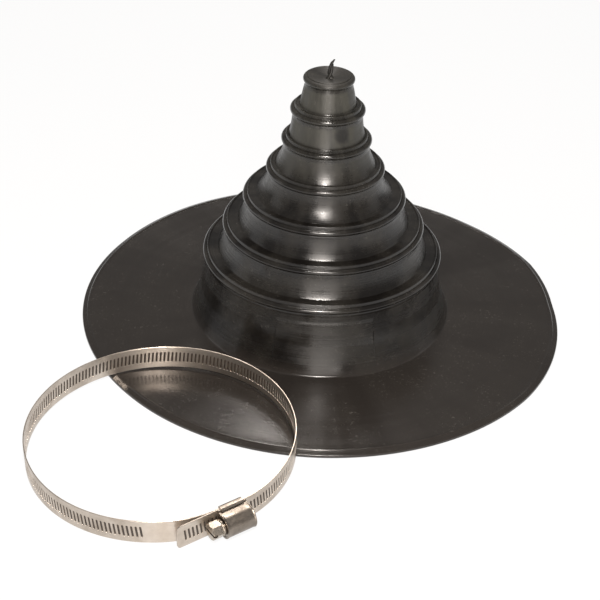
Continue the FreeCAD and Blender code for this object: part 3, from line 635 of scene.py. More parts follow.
@dataclass
class RubberBoot:
    """The moulded boot, one closed surface of revolution with its panel, and the torn gate."""

    seats: tuple[float, ...] = (12.6, 20.3, 25.5, 35.0, 49.95, 63.25, 76.4)
    feet: tuple[float, ...] = (18.2, 24.7, 33.2, 45.4, 57.1, 70.4, 88.4)
    lowest_bead: float = 46.8
    step_rise: float = 20.7
    bead_reach: float = 3.85
    bead_round: float = 2.0
    shelf_rise: float = 3.3
    cap_rise: float = 2.3
    ridge_inset: float = 4.25
    neck_setback: float = 1.5
    bead_fall: float = 2.2
    wall_fillet: float = 0.9
    collar_fillet: float = 1.6
    shelf_thickness: float = 2.2
    seat_depth: float = 7.0
    pole: float = 0.6
    cap_dish: float = 1.5
    top_wall_fullness: float = 1.2
    wall: float = 2.1
    collar_wall: float = 3.0
    flange_radius: float = 165.0
    rigid_radius: float = 95.0
    flange_thickness: float = 3.0
    edge_thickness: float = 1.9
    panel_middle: float = -88.0
    panel_half: float = 23.0
    panel_low: float = 7.0
    panel_high: float = 38.0
    panel_height: float = 0.35
    border_inset: float = 4.2
    border_rise: float = 0.5
    gate_forward: float = 1.5
    gate_lean: float = 1.7
    strand_lengths: tuple[float, float] = (13.0, 11.0)
    strand_radius: float = 1.4
    strand_spread: float = 1.15
    strand_twist: float = 5.2
    columns: int = 180
    # The rim's shifts outwards at these directions, in degrees. They fade to none at rigid_radius.
    rim_turns: tuple[float, ...] = (3, 22, 47, 59, 90, 115, 128, 152, 180, 208, 222, 235, 268, 300, 323, 345)
    rim_shifts: tuple[float, ...] = (
        -2.2, 1.0, -1.6, -1.5, 0.2, 1.7, 1.4, -0.9, -2.0, -2.9, -2.5, -1.6, 0.5, 0.8, 1.1, -0.8,
    )

    def bead_height(self, step: int) -> float:
        """Height of the middle of a step's bead."""
        return self.lowest_bead + (len(self.seats) - 1 - step) * self.step_rise

    def shelf_height(self, step: int) -> float:
        """Height of a step's flat top."""
        return self.bead_height(step) + (self.shelf_rise if step else self.cap_rise)

    def wall_floor(self, step: int) -> float:
        """Height of the surface on which a step's wall stands."""
        return self.flange_thickness if step == len(self.seats) - 1 else self.shelf_height(step + 1)

    def bead_path(self, step: int) -> list[Corner]:
        """Corners from the shelf's edge over the fine ridge and groove and round the bead.

        The bead is a tube of its own radius; its points run from straight up to nearly straight
        down. The ridge stands between the shelf and the groove over the tube.

        Args:
            step: the step, 0 for the top one.

        Returns:
            The corners, outwards and down.
        """
        out, height = self.seats[step] + self.bead_reach, self.bead_height(step)
        angles = np.radians(np.linspace(101.0, -78.0, 12))
        middle, r = out - self.bead_round, self.bead_round
        tube = [(middle + r * math.cos(a), height + r * math.sin(a), 0.0) for a in angles]
        shelf, raised = self.shelf_height(step), 0.75 if step else 0.15
        ridge = [
            (out - self.ridge_inset, shelf, 0.3),
            (out - 3.75, shelf + raised, 0.3),
            (out - 2.95, shelf + raised - 0.1, 0.3),
            (out - 2.55, height + 1.75, 0.12),
        ]
        return ridge + tube

    def wall_path(self, step: int) -> list[Corner]:
        """Corners down a flared wall: an arc that leaves the bead straight down, to its foot.

        At a drop d the arc stands out by R - sqrt(R^2 - d^2), with R = (out^2 + down^2) /
        (2 out) so that it ends at the foot. The top wall is fuller: it goes past the straight
        line between the arc's ends by a share of the way from the arc to that line.

        Args:
            step: the step, 0 for the top one.

        Returns:
            The corners, downwards.
        """
        neck = self.seats[step] + self.bead_reach - self.neck_setback
        top, low = self.bead_height(step) - self.bead_fall, self.wall_floor(step)
        out, down = self.feet[step] - neck, top - low
        flare = (out * out + down * down) / (2.0 * out)
        collar = step == len(self.seats) - 1
        last = down - (2.4 if collar else 1.3)
        drops = np.linspace(0.0, last, 30 if collar else 16)
        if collar:
            edges = [top - self.panel_high, top - self.panel_low]
            near = [edge + shift for edge in edges for shift in (-1.0, -0.4, -0.12, 0.12, 0.4, 1.0)]
            drops = np.unique(np.concatenate([drops, near]))
            drops = drops[drops <= last]
        radii = neck + flare - np.sqrt(flare**2 - drops**2)
        if step == 0:
            radii += self.top_wall_fullness * (neck + out * drops / down - radii)
        rows = [(float(r), float(top - d), 0.0) for r, d in zip(radii, drops)]
        return rows + [(self.feet[step], low, self.collar_fillet if collar else self.wall_fillet)]

    def outer_path(self) -> Array:
        """The outside of the section, from the top's middle to the flange's edge.

        The top is dished by 1 - (r / its edge) squared.

        Returns:
            The path's points, radius and height.
        """
        top = self.shelf_height(0)
        brim = self.seats[0] + self.bead_reach - self.ridge_inset
        radii = (self.pole, 2.0, 4.0, 7.0, 9.5)
        corners = [(r, top - self.cap_dish * (1.0 - (r / brim) ** 2), 0.0) for r in radii]
        for step in range(len(self.seats)):
            corners += self.bead_path(step) + self.wall_path(step)
        rim, top = self.flange_radius, self.flange_thickness
        line, raised = rim - self.border_inset, top + self.border_rise
        corners += [
            (line - 1.2, top, 0.4),
            (line - 0.6, raised, 0.25),
            (line + 0.4, raised, 0.25),
            (line + 1.0, top, 0.3),
            (rim, self.edge_thickness, 0.6),
            (rim, 0.0, 0.5),
            (rim - 4.0, 0.0, 0.0),
        ]
        return split_lengths(rounded_path(corners), 6.5)

    def inner_path(self) -> Array:
        """The underside and the inside of the section, from the flange to the top's middle.

        Returns:
            The path's points, radius and height.
        """
        opening = self.feet[-1] - self.collar_wall
        corners = [(opening, 0.0, 0.5), (opening, self.flange_thickness, 0.0)]
        for step in reversed(range(len(self.seats))):
            under = self.shelf_height(step) - self.shelf_thickness
            above = self.feet[step - 1] - self.wall if step else self.pole
            corners += [(self.seats[step], under - self.seat_depth, 0.0), (self.seats[step], under, 0.5)]
            corners += [(above, under, 0.5 if step else 0.0)]
        return split_lengths(rounded_path(corners, 4), 14.0)

    def turns(self) -> Array:
        """Directions of the columns, evenly spaced and closer at the panel's two edges.

        Returns:
            The directions, in radians.
        """
        even = np.linspace(0.0, 360.0, self.columns, endpoint=False)
        edges = [self.panel_middle + side * self.panel_half for side in (-1, 1)]
        near = [edge + shift for edge in edges for shift in (-0.45, -0.3, -0.15, 0.0, 0.15, 0.3, 0.45)]
        apart = np.abs((np.array(edges)[:, None] - even + 180.0) % 360.0 - 180.0).min(axis=0)
        clear = even[apart > 0.8]
        return np.radians(np.unique(np.concatenate([clear, np.mod(near, 360.0)])))

    def surface(self) -> Surface:
        """The whole boot: the section turned round, the panel raised and the rim drawn out of true.

        A point is (r cos a, r sin a, z). The panel adds its height to r inside its edges, and the
        flange's rim adds a small shift that grows with the square of the way out.

        Returns:
            The closed surface.
        """
        outer, turns = self.outer_path(), self.turns()
        path = np.concatenate([outer, self.inner_path()])
        radius, height = path[:, :1] + 0.0 * turns, path[:, 1:] + 0.0 * turns
        outside = (np.arange(len(path)) < len(outer))[:, None]
        from_middle = turns - math.radians(self.panel_middle)
        away = np.degrees(np.abs((from_middle + math.pi) % (2 * math.pi) - math.pi))
        across = 1.0 - smoothstep(self.panel_half - 0.25, self.panel_half + 0.25, away)
        up = smoothstep(self.panel_low - 0.15, self.panel_low + 0.15, height)
        up = up * (1.0 - smoothstep(self.panel_high - 1.0, self.panel_high + 1.0, height))
        raised = self.panel_height * across[None, :] * up * outside * (radius > self.seats[-1])
        shifts = np.interp(np.degrees(turns), self.rim_turns, self.rim_shifts, period=360.0)
        soft = self.flange_radius - self.rigid_radius
        drawn = np.clip((radius - self.rigid_radius) / soft, 0.0, 1.0) ** 2
        radius = radius + raised + drawn * shifts[None, :]
        grid = np.stack([radius * np.cos(turns), radius * np.sin(turns), height], axis=-1)
        surface = Surface()
        centres = (np.array([0.0, 0.0, path[0, 1]]), np.array([0.0, 0.0, path[-1, 1]]))
        surface.add_lathe(grid, centres)
        return surface

    def gate(self) -> Surface:
        """The torn gate: two strands twisted round each other, drawn thin and hooked at the tip.

        A strand's middle is the leaning line plus half the spread turned by the twist, and its
        rings lie flat with a radius that shrinks upwards and is fuller at the root.

        Returns:
            Both strands.
        """
        root = self.shelf_height(0) - self.cap_dish - 0.3
        surface = Surface()
        steps = np.linspace(0.0, 1.0, 40)
        around = np.linspace(0.0, 2.0 * math.pi, 14, endpoint=False)
        for side, length in zip((0.0, math.pi), self.strand_lengths):
            twist = side + 0.35 + steps * self.strand_twist
            spread = self.strand_spread - 0.62 * smoothstep(0.0, 0.62, steps)
            spread = spread + 0.25 * smoothstep(0.7, 1.0, steps)
            lean = self.gate_lean * steps**1.6 + (0.35 * smoothstep(0.86, 1.0, steps) if side == 0.0 else 0.0)
            thick = self.strand_radius - 0.32 * smoothstep(0.0, 0.6, steps)
            thick = thick - 0.42 * smoothstep(0.85, 1.0, steps)
            thick = thick + 0.55 * (1.0 - smoothstep(0.0, 0.09, steps))
            x = lean + spread * np.cos(twist)
            y = 0.7 * spread * np.sin(twist) - self.gate_forward
            z = root + steps * length
            rings = np.stack([
                x[:, None] + thick[:, None] * np.cos(around),
                y[:, None] + thick[:, None] * np.sin(around),
                z[:, None] + 0.25 * thick[:, None] * np.cos(around - 0.5),
            ], axis=-1)
            ends = (rings[0].mean(axis=0), rings[-1].mean(axis=0) + np.array([0.25, 0.0, 0.35]))
            surface.add_lathe(rings, ends)
        return surface

    def build(self, rubber: Material) -> None:
        """Make the boot and its gate, in place of the plain solid.

        Args:
            rubber: the boot's material.
        """
        boot = make_piece("boot_skin", self.surface(), Body.STILL, rubber, sharp_angle=50.0)
        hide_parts("boot")
        make_piece("torn_gate", self.gate(), Body.STILL, rubber, sharp_angle=70.0)


# ------------------------------------------------------------------ the clamp


@dataclass(frozen=True)
class ClampFinishes:
    """The materials of the clamp's pieces."""

    band: Material
    channel: Material
    sheet: Material
    screw: Material
    # The dark sheet in the slots: painted shade.
    shade_sheet: Material


@dataclass
class WormClamp:
    """The worm-drive clamp. Its own frame: Z along the loop's axis from the band's lower edge, X
    from the loop's middle to the housing, Y along the screw and away from its head."""

    band_radius: float = 80.3
    band_width: float = 15.5
    thickness: float = 0.65
    layer_gap: float = 0.1
    half_flat: float = 9.0
    setback: float = 1.0
    fixed_end: float = 7.5
    tail: float = 25.5
    tail_corner: float = 2.5
    pitch: float = 2.5
    slot_length: float = 7.6
    slot_width: float = 1.15
    slot_margin: float = 0.4
    slot_chamfer: float = 0.1
    slot_flare: float = 0.08
    # Half the thickness of the dark sheet in the slots, which is painted shade.
    shade_sheet_half: float = 0.06
    slant: float = 6.0
    plain_start: float = 22.5
    plain_angle: float = 13.0
    edge_round: float = 0.12
    centre: tuple[float, float] = (-93.1, -163.2)
    direction: float = 305.0
    rest_gap: float = 0.15
    worm_gap: float = 0.15
    screw_height: float = 5.25
    saddle_thickness: float = 0.9
    saddle_half: float = 7.0
    seat_gap: float = 0.05
    side_gap: float = 0.2
    housing_thickness: float = 1.0
    dome_radius: float = 6.05
    end_wall: float = 1.2
    neck_radius: float = 3.2
    tip_radius: float = 2.3
    bore_gap: float = 0.05
    worm_core: float = 4.5
    worm_crest: float = 5.3
    washer_radius: float = 5.0
    washer_thickness: float = 1.5
    washer_gap: float = 0.3
    hex_flats: float = 9.0
    hex_height: float = 6.4
    drive_width: float = 1.4
    drive_depth: float = 2.2

    @property
    def middle(self) -> float:
        """Radius of the middle of the band's steel."""
        return self.band_radius - self.thickness / 2

    @property
    def sliding(self) -> float:
        """Middle of the straight layer that slides under the screw."""
        return self.middle - self.setback

    @property
    def fixed(self) -> float:
        """Middle of the straight layer that is held in the saddle."""
        return self.sliding - self.thickness - self.layer_gap

    @property
    def base(self) -> float:
        """Underside of the housing."""
        return self.sliding + self.thickness / 2 + self.worm_gap

    @property
    def axis(self) -> float:
        """Distance of the screw's axis from the loop's."""
        return self.base + self.screw_height

    @property
    def mid_width(self) -> float:
        """Middle of the band's width."""
        return self.band_width / 2

    def placing(self, rim: float, propped: float) -> Placing:
        """How the clamp lies: on the flange's rim at two points, its far side on the ground.

        With a the distance between the two axes, the raised line's circle crosses the loop's at
        (a^2 + rim^2 - loop^2) / (2 a) along the line between them. The slope is the line's
        height over the length from there to the loop's far side.

        Args:
            rim: radius of the raised line on the flange.
            propped: height of the raised line.

        Returns:
            The turn and shift into the frame.
        """
        x, y = self.centre
        away = math.hypot(x, y)
        crossing = (away**2 + rim**2 - self.band_radius**2) / (2.0 * away)
        slope = propped / (away + self.band_radius - crossing)
        height = self.rest_gap + slope * self.band_radius
        hinge = Vector((-y / away, x / away, 0.0))
        tilt = Matrix.Rotation(math.atan(slope), 3, hinge)
        heading = Matrix.Rotation(math.radians(self.direction), 3, "Z")
        return Placing(tilt @ heading, Vector((x, y, height)))

    def bend(self, layer: float) -> float:
        """Radius of the tighter bend from a straight layer into the loop.

        Its circle touches the layer's line at the end of the flat and the loop's circle from
        inside: with d the layer's distance inside the loop, loop - d / 2 - flat^2 / (2 d).

        Args:
            layer: the layer's distance from the loop's axis.

        Returns:
            The radius.
        """
        inside = self.middle - layer
        return self.middle - inside / 2 - self.half_flat**2 / (2.0 * inside)

    def bend_turn(self, layer: float) -> float:
        """How far that bend turns, in radians."""
        return math.asin(self.half_flat / (self.middle - self.bend(layer)))

    def strip_ends(self) -> tuple[float, float, float, float, float]:
        """Where the strip's five runs end, measured along it from the fixed end.

        Returns:
            The ends of the held layer, the bend into the loop, the loop, the bend out of it and
            the sliding layer with its tail.
        """
        into, out = self.bend(self.fixed), self.bend(self.sliding)
        turn_in, turn_out = self.bend_turn(self.fixed), self.bend_turn(self.sliding)
        lengths = (
            self.fixed_end + self.half_flat,
            into * turn_in,
            self.middle * (2.0 * math.pi - turn_in - turn_out),
            out * turn_out,
            2.0 * self.half_flat + self.tail,
        )
        return tuple(np.cumsum(lengths))

    def on_strip(self, along: Array, height: Array) -> tuple[Array, Array]:
        """The place at a length along the strip, at a height over the middle of its steel.

        A straight run is start + length * direction. A bend is centre + (radius + height) *
        (cos a, sin a), where a falls by length / radius.

        Args:
            along: lengths from the fixed end.
            height: heights, outwards.

        Returns:
            X and Y.
        """
        ends = self.strip_ends()
        into, out = self.bend(self.fixed), self.bend(self.sliding)
        turn_in, turn_out = self.bend_turn(self.fixed), self.bend_turn(self.sliding)
        x = self.fixed + height
        y = self.fixed_end - along
        for start, centre_x, centre_y, radius, first in (
            (ends[0], self.fixed - into, -self.half_flat, into, 0.0),
            (ends[1], 0.0, 0.0, self.middle, -turn_in),
            (ends[2], self.sliding - out, self.half_flat, out, turn_out),
        ):
            angle = first - (along - start) / radius
            here = along > start
            x = np.where(here, centre_x + (radius + height) * np.cos(angle), x)
            y = np.where(here, centre_y + (radius + height) * np.sin(angle), y)
        x = np.where(along > ends[3], self.sliding + height, x)
        y = np.where(along > ends[3], self.half_flat - (along - ends[3]), y)
        return x, y

    def strip_points(self, along: Array, across: Array, height: Array) -> Array:
        """Points of the strip from lengths, places across it and heights."""
        x, y = self.on_strip(along, height)
        return np.stack([x, y, across + 0.0 * x], axis=-1)

    def is_plain(self, along: Array) -> Array:
        """Whether places along the strip lie in the stretch that has no slots.

        Args:
            along: lengths from the fixed end.

        Returns:
            True or False for each.
        """
        x, y = self.on_strip(along, np.zeros_like(along))
        angles = np.degrees(-np.arctan2(y, x))
        before_end = angles < self.plain_start + self.plain_angle
        return (angles > self.plain_start) & before_end & (along < self.strip_ends()[3])

    def slots_end(self) -> float:
        """How far along the strip the last slot's cell may reach."""
        return self.strip_ends()[4] - self.tail_corner - self.slot_margin

    def across_places(self) -> Array:
        """Places of the faces' points across the strip, closer together near its two sides."""
        low = np.array([self.edge_round, 0.45, 1.1, 2.2, 3.4, 5.4])
        return np.concatenate([low, [self.mid_width], self.band_width - low[::-1]])

    def strip_columns(self) -> tuple[Array, Array, Array]:
        """Where the strip's columns stand: one at each cell's start, and four more to the tail's end.

        The tail's corners are quarter circles. Where a place across lies inside a corner by c,
        the strip ends at the corner's start plus sqrt(radius^2 - c^2).

        Returns:
            The cells' starts, every column's lengths at the places across, and its length at the
            strip's two sides.
        """
        rows, ends = self.across_places(), self.strip_ends()
        starts = ends[0] + self.pitch * (np.arange(-MOST_CELLS, MOST_CELLS) + 0.5)
        starts = starts[(starts > 1.0) & (starts < self.slots_end())]
        starts = np.concatenate([[0.0], starts])
        inside = np.clip(self.tail_corner - np.minimum(rows, self.band_width - rows), 0.0, None)
        side_tip = ends[4] - self.tail_corner
        tip = side_tip + np.sqrt(self.tail_corner**2 - inside**2)
        shares, last = np.linspace(0.0, 1.0, 5)[1:], starts[-1]
        body = np.repeat(starts[:, None], len(rows), axis=1)
        lengths = np.concatenate([body, last + (tip - last) * shares[:, None]])
        sides = np.concatenate([starts, last + (side_tip - last) * shares])
        return starts, lengths, sides

    def slot_outline(self, grown: float) -> tuple[Array, Array]:
        """A slot's outline round its middle: up its left side, then down its right side.

        The half width is sqrt(r^2 - p^2), with r the radius of the slot's ends and p how far a
        place reaches into an end. The slant shifts a place by its height times a tangent.

        Args:
            grown: how much larger than the slot the outline is, all round.

        Returns:
            Places along and across the strip.
        """
        end_radius, reach = self.slot_width / 2, self.slot_length / 2
        steps = np.array([0.0, 0.07, 0.2, 0.38, 0.62])
        offsets = np.concatenate([-reach + 0.01 + steps, [-1.6, 0.0, 1.6], (reach - 0.01 - steps)[::-1]])
        across = offsets * (reach + grown) / reach
        past = np.clip(np.abs(across) - (reach - end_radius), 0.0, end_radius + grown - 1e-3)
        wide = np.sqrt((end_radius + grown) ** 2 - past**2)
        lean = across * math.tan(math.radians(self.slant))
        return np.concatenate([lean - wide, (lean + wide)[::-1]]), np.concatenate([across, across[::-1]])

    def slot_faces(self, cells: Array, count: int, around: int, base: int) -> Array:
        """Faces down the slots' walls, and from the outlines to the sides of their cells.

        Args:
            cells: the columns that a slotted cell starts at.
            count: how many points a column has on one face of the strip.
            around: how many points it has in all.
            base: the number of the first outline's first point.

        Returns:
            One face a row.
        """
        ring, number = 2 * count, np.arange(count)
        layer = len(cells) * ring
        first = base + np.arange(len(cells))[:, None] * ring
        here, after = np.arange(ring), (np.arange(ring) + 1) % ring
        faces = []
        for depth in range(3):
            top = first + depth * layer
            low = top + layer
            faces.append(np.stack([top + here, top + after, low + after, low + here], axis=-1))
        for depth, side in ((0, number), (3, 2 * count + 1 - number)):
            left = cells[:, None] * around + side
            right = left + around
            cut = first + depth * layer
            cut_left, cut_right = cut + number, cut + ring - 1 - number
            for edge, slot in ((left, cut_left), (right, cut_right)):
                faces.append(np.stack([edge[:, :-1], edge[:, 1:], slot[:, 1:], slot[:, :-1]], axis=-1))
            for end in (0, count - 1):
                corners = [left[:, end], right[:, end], cut_right[:, end], cut_left[:, end]]
                faces.append(np.stack(corners, axis=-1))
        return np.concatenate([quads.reshape(-1, 4) for quads in faces])

    def band(self) -> tuple[Surface, Array]:
        """The slotted strip as cells one pitch long, each with its slot's rounded outline.

        A cell's face runs from its two sides to the slot's outline. Both faces, the slots' walls
        and the strip's bevelled edges share their points.

        Returns:
            The surface, and each point's place along and across the strip in metres.
        """
        starts, lengths, sides = self.strip_columns()
        rows, width = self.across_places(), self.band_width
        edge, half = self.edge_round, self.thickness / 2
        columns, count = lengths.shape

        # A ring round the strip at each column: outer face, far edge, inner face, near edge.
        bevel, depths = [half - edge, edge - half], np.full(count, half)
        pair = np.repeat(sides[:, None], 2, axis=1)
        along = np.concatenate([lengths, pair, lengths[:, ::-1], pair], axis=1)
        across = np.concatenate([rows, [width, width], rows[::-1], [0.0, 0.0]]) + 0.0 * along
        height = np.concatenate([depths, bevel, -depths, bevel[::-1]]) + 0.0 * along
        around = along.shape[1]
        surface = Surface()
        surface.add_points(self.strip_points(along, across, height))
        maps = [np.stack([along, across], axis=-1).reshape(-1, 2)]

        middles = (starts[:-1] + starts[1:]) / 2
        slotted = np.zeros(columns - 1, bool)
        past_fixed = middles > self.strip_ends()[0] + 0.6 * self.pitch
        slotted[: len(middles)] = past_fixed & ~self.is_plain(middles)
        cells = np.flatnonzero(slotted)

        # Every face of the grid, but for the outer and the inner face of a cell with a slot.
        faces = grid_faces(columns, around, round_columns=True).reshape(columns - 1, around, 4)
        keep = np.ones((columns - 1, around), bool)
        keep[np.ix_(slotted, np.arange(count - 1))] = False
        keep[np.ix_(slotted, np.arange(count + 2, 2 * count + 1))] = False
        surface.faces.extend(faces[keep].tolist())

        chamfer, grown = self.slot_chamfer, self.slot_flare
        for wider, depth in ((grown, half), (0.0, half - chamfer), (0.0, chamfer - half), (grown, -half)):
            outline_along, outline_across = self.slot_outline(wider)
            along = outline_along + middles[cells][:, None]
            across = outline_across + self.mid_width + 0.0 * along
            maps.append(np.stack([along, across], axis=-1).reshape(-1, 2))
            surface.add_points(self.strip_points(along, across, depth + 0.0 * along))
        surface.faces.extend(self.slot_faces(cells, count, around, columns * around).tolist())
        for column in (0, columns - 1):
            surface.close_strip_end(column * around, count)
        return surface, np.concatenate(maps) * MILLIMETRE

    def slot_shade_sheet(self) -> Surface:
        """A thin dark sheet across every slot, inside the band's thickness and into its walls' edges: painted
        shade that darkens the slots.

        Returns:
            The sheets, one closed plate to a slot.
        """
        middles = self.strip_ends()[0] + self.pitch * np.arange(1, MOST_CELLS)
        middles = middles[middles + self.pitch / 2 < self.slots_end()]
        middles = middles[~self.is_plain(middles)]
        reach = self.slot_length / 2 - 0.12
        z = np.array([-reach, -reach + 0.4, 0.0, reach - 0.4, reach])
        wide = np.array([0.12, 1.0, 1.0, 1.0, 0.12]) * (self.slot_width / 2 + 0.02)
        lean = z * math.tan(math.radians(self.slant))
        across = np.concatenate([lean - wide, (lean + wide)[::-1]])
        up = np.concatenate([z, z[::-1]]) + self.mid_width
        surface = Surface()
        s = middles[:, None] + across[None, :]
        for depth in (self.shade_sheet_half, -self.shade_sheet_half):
            surface.add_points(self.strip_points(s, up, depth + 0.0 * s))
        count, ring = len(middles), len(across)
        cell = np.arange(count)[:, None] * ring
        number = np.arange(ring // 2 - 1)
        for layer in (0, count * ring):
            corners = (number, number + 1, ring - 2 - number, ring - 1 - number)
            quads = np.stack([cell + corner + layer for corner in corners], axis=-1)
            surface.faces.extend(quads.reshape(-1, 4).tolist())
        here, after = cell + np.arange(ring), cell + (np.arange(ring) + 1) % ring
        walls = np.stack([here, after, after + count * ring, here + count * ring], axis=-1)
        surface.faces.extend(walls.reshape(-1, 4).tolist())
        return surface

    def folded(self, path: Array, thickness: float, lengths: Array, lift: Optional[Lift] = None) -> Surface:
        """A sheet of steel folded along a path and as long as the list of lengths.

        Each point of the path moves half the thickness to both sides, square to the path, and
        the section is carried along Y.

        Args:
            path: the middle of the steel in X and Z.
            thickness: of the steel.
            lengths: places along Y.
            lift: how far each point moves outwards, from its Y and its share of the path.

        Returns:
            The closed surface.
        """
        ahead = np.gradient(path, axis=0)
        ahead = ahead / np.linalg.norm(ahead, axis=1)[:, None]
        square = np.stack([-ahead[:, 1], ahead[:, 0]], axis=1)
        bevel = min(0.12, thickness / 4)
        section = np.concatenate([
            path + square * thickness / 2,
            path[-1:] + square[-1:] * (thickness / 2 - bevel) + ahead[-1:] * bevel,
            path[-1:] - square[-1:] * (thickness / 2 - bevel) + ahead[-1:] * bevel,
            (path - square * thickness / 2)[::-1],
            path[:1] - square[:1] * (thickness / 2 - bevel) - ahead[:1] * bevel,
            path[:1] + square[:1] * (thickness / 2 - bevel) - ahead[:1] * bevel,
        ])
        share = np.linspace(0.0, 1.0, len(path))
        shares = np.concatenate([share, [1.0, 1.0], share[::-1], [0.0, 0.0]])
        normals = np.concatenate([square, [square[-1]] * 2, square[::-1], [square[0]] * 2])
        y = lengths[:, None] + 0.0 * shares
        moved = np.zeros_like(y) if lift is None else lift(y, shares[None, :])
        x = section[:, 0] + normals[:, 0] * moved
        z = section[:, 1] + normals[:, 1] * moved
        grid = np.stack([x + 0.0 * y, y, z + 0.0 * y], axis=-1)
        surface = Surface()
        first = surface.add_grid(grid, round_columns=True)
        for row in (0, len(lengths) - 1):
            surface.close_strip_end(first + row * len(shares), len(path))
        return surface

    def saddle(self) -> Surface:
        """The saddle: a channel round both layers of the band, its ears over the housing's feet.

        Returns:
            The closed surface.
        """
        t = self.saddle_thickness
        floor = self.fixed - self.thickness / 2 - self.seat_gap - t / 2
        ear = self.base + self.housing_thickness + self.seat_gap + t / 2
        side = self.mid_width + self.side_gap + t / 2
        lip = self.dome_radius + self.housing_thickness + 0.3
        half = [(ear, lip, 0.0), (ear, side, 0.8), (floor, side, 0.9)]
        corners = half + [(x, -z, r) for x, z, r in half[::-1]]
        path = split_lengths(rounded_path([(x, z + self.mid_width, r) for x, z, r in corners], 7), 2.0)
        end, bevel_start, flat = self.saddle_half, self.saddle_half - 0.1, self.saddle_half - 0.6
        lengths = np.concatenate([[-end, -bevel_start], np.linspace(-flat, flat, 15), [bevel_start, end]])

        def curl(y: Array, share: Array) -> Array:
            """The ears lift a little at the end next to the screw's head."""
            at_ear = 1.0 - smoothstep(0.0, 0.09, np.minimum(share, 1.0 - share))
            return -0.45 * at_ear * (1.0 - smoothstep(-end, 1.8 - end, y))

        return self.folded(path, t, lengths, curl)

    def dome(self) -> Surface:
        """The housing's shell: feet, sides and a half-round top, with a lip at each end.

        Returns:
            The closed surface.
        """
        t = self.housing_thickness
        foot = self.base + t / 2
        radius = self.dome_radius + t / 2
        out = self.mid_width + self.side_gap - self.seat_gap
        angles = np.radians(np.linspace(-90.0, 90.0, 31))
        top = [(self.axis + radius * math.cos(a), radius * math.sin(a), 0.0) for a in angles]
        corners = [(foot, -out, 0.0), (foot, -radius, 0.5), *top, (foot, radius, 0.5), (foot, out, 0.0)]
        path = split_lengths(rounded_path([(x, z + self.mid_width, r) for x, z, r in corners], 5), 1.6)
        near_end = self.half_flat - np.array([5.5, 2.0, 1.2, 0.8, 0.4, 0.1, 0.0])
        lengths = np.concatenate([-near_end[::-1], [0.0], near_end])

        def lip(y: Array, share: Array) -> Array:
            """Both ends roll outwards a little, but for the feet."""
            on_dome = smoothstep(0.12, 0.2, np.minimum(share, 1.0 - share))
            return -0.22 * on_dome * smoothstep(self.half_flat - 1.0, self.half_flat - 0.2, np.abs(y))

        return self.folded(path, t, lengths, lip)

    def end_plate(self, side: int, bore: float) -> Surface:
        """An end wall of the housing: from its bore out to the inside of the dome.

        At an angle a the wall reaches the dome's radius over the axis. Under it, it reaches the
        nearer of the dome's straight side, radius / |sin a|, and the base, height / |cos a|.

        Args:
            side: -1 for the end next to the screw's head, 1 for the other.
            bore: radius of the hole for the screw.

        Returns:
            The closed surface.
        """
        angles = np.linspace(0.0, 2.0 * math.pi, 72, endpoint=False)
        cos, sin = np.cos(angles), np.sin(angles)
        inside = self.dome_radius + 0.1
        to_side = inside / np.maximum(np.abs(sin), 1e-6)
        to_base = self.screw_height / np.maximum(np.abs(cos), 1e-6)
        reach = np.where(cos >= 0.0, inside, np.minimum(to_side, to_base))
        near, far = self.half_flat - self.end_wall, self.half_flat - 0.25
        chamfer = 0.2
        section = [
            (np.full_like(reach, bore + chamfer), far),
            (reach, far),
            (reach, near),
            (np.full_like(reach, bore), near),
            (np.full_like(reach, bore), far - chamfer),
        ]
        grid = np.stack([
            np.stack([self.axis + r * cos, np.full_like(r, side * y), self.mid_width + r * sin], axis=-1)
            for r, y in section
        ])
        surface = Surface()
        surface.add_grid(grid, round_rows=True, round_columns=True)
        return surface

    def shank(self) -> Surface:
        """The screw behind its head: washer, neck, worm and tip.

        The radius follows the turned profile, and between the end walls the thread is added: it
        swells from core to crest with the fraction of a turn, y / pitch - a / (2 pi).

        Returns:
            The closed surface.
        """
        inside = self.half_flat - self.end_wall - self.worm_gap
        back = -self.half_flat - self.washer_gap
        head = back - self.washer_thickness
        wide = self.washer_radius
        profile = rounded_path([
            (head, wide - 1.2, 0.0), (head, wide, 0.35), (back, wide, 0.45), (back, self.neck_radius, 0.3),
            (-inside, self.neck_radius, 0.0), (-inside, self.worm_core, 0.3),
        ])
        worm_y = np.linspace(-inside + 0.4, inside - 0.4, 90)
        rest = rounded_path([
            (inside, self.worm_core, 0.3), (inside, self.tip_radius, 0.0),
            (self.half_flat + 0.9, self.tip_radius, 0.5), (self.half_flat + 0.9, self.tip_radius - 0.9, 0.0),
        ])
        worm = np.stack([worm_y, np.full_like(worm_y, self.worm_core)], axis=1)
        path = np.concatenate([profile, worm, rest])
        turns = np.linspace(0.0, 2.0 * math.pi, 48, endpoint=False)
        y, r = path[:, :1] + 0.0 * turns, path[:, 1:] + 0.0 * turns
        phase = np.mod(y / self.pitch - turns / (2.0 * math.pi), 1.0)
        tooth = smoothstep(0.12, 0.38, phase) * (1.0 - smoothstep(0.62, 0.88, phase))
        fade = smoothstep(-inside + 0.3, -inside + 1.2, y) * (1.0 - smoothstep(inside - 1.2, inside - 0.3, y))
        r = r + (self.worm_crest - self.worm_core) * tooth * fade
        grid = np.stack([self.axis + r * np.cos(turns), y, self.mid_width + r * np.sin(turns)], axis=-1)
        centres = [np.array([self.axis, path[end, 0], self.mid_width]) for end in (0, -1)]
        surface = Surface()
        surface.add_lathe(grid, (centres[0], centres[1]))
        return surface

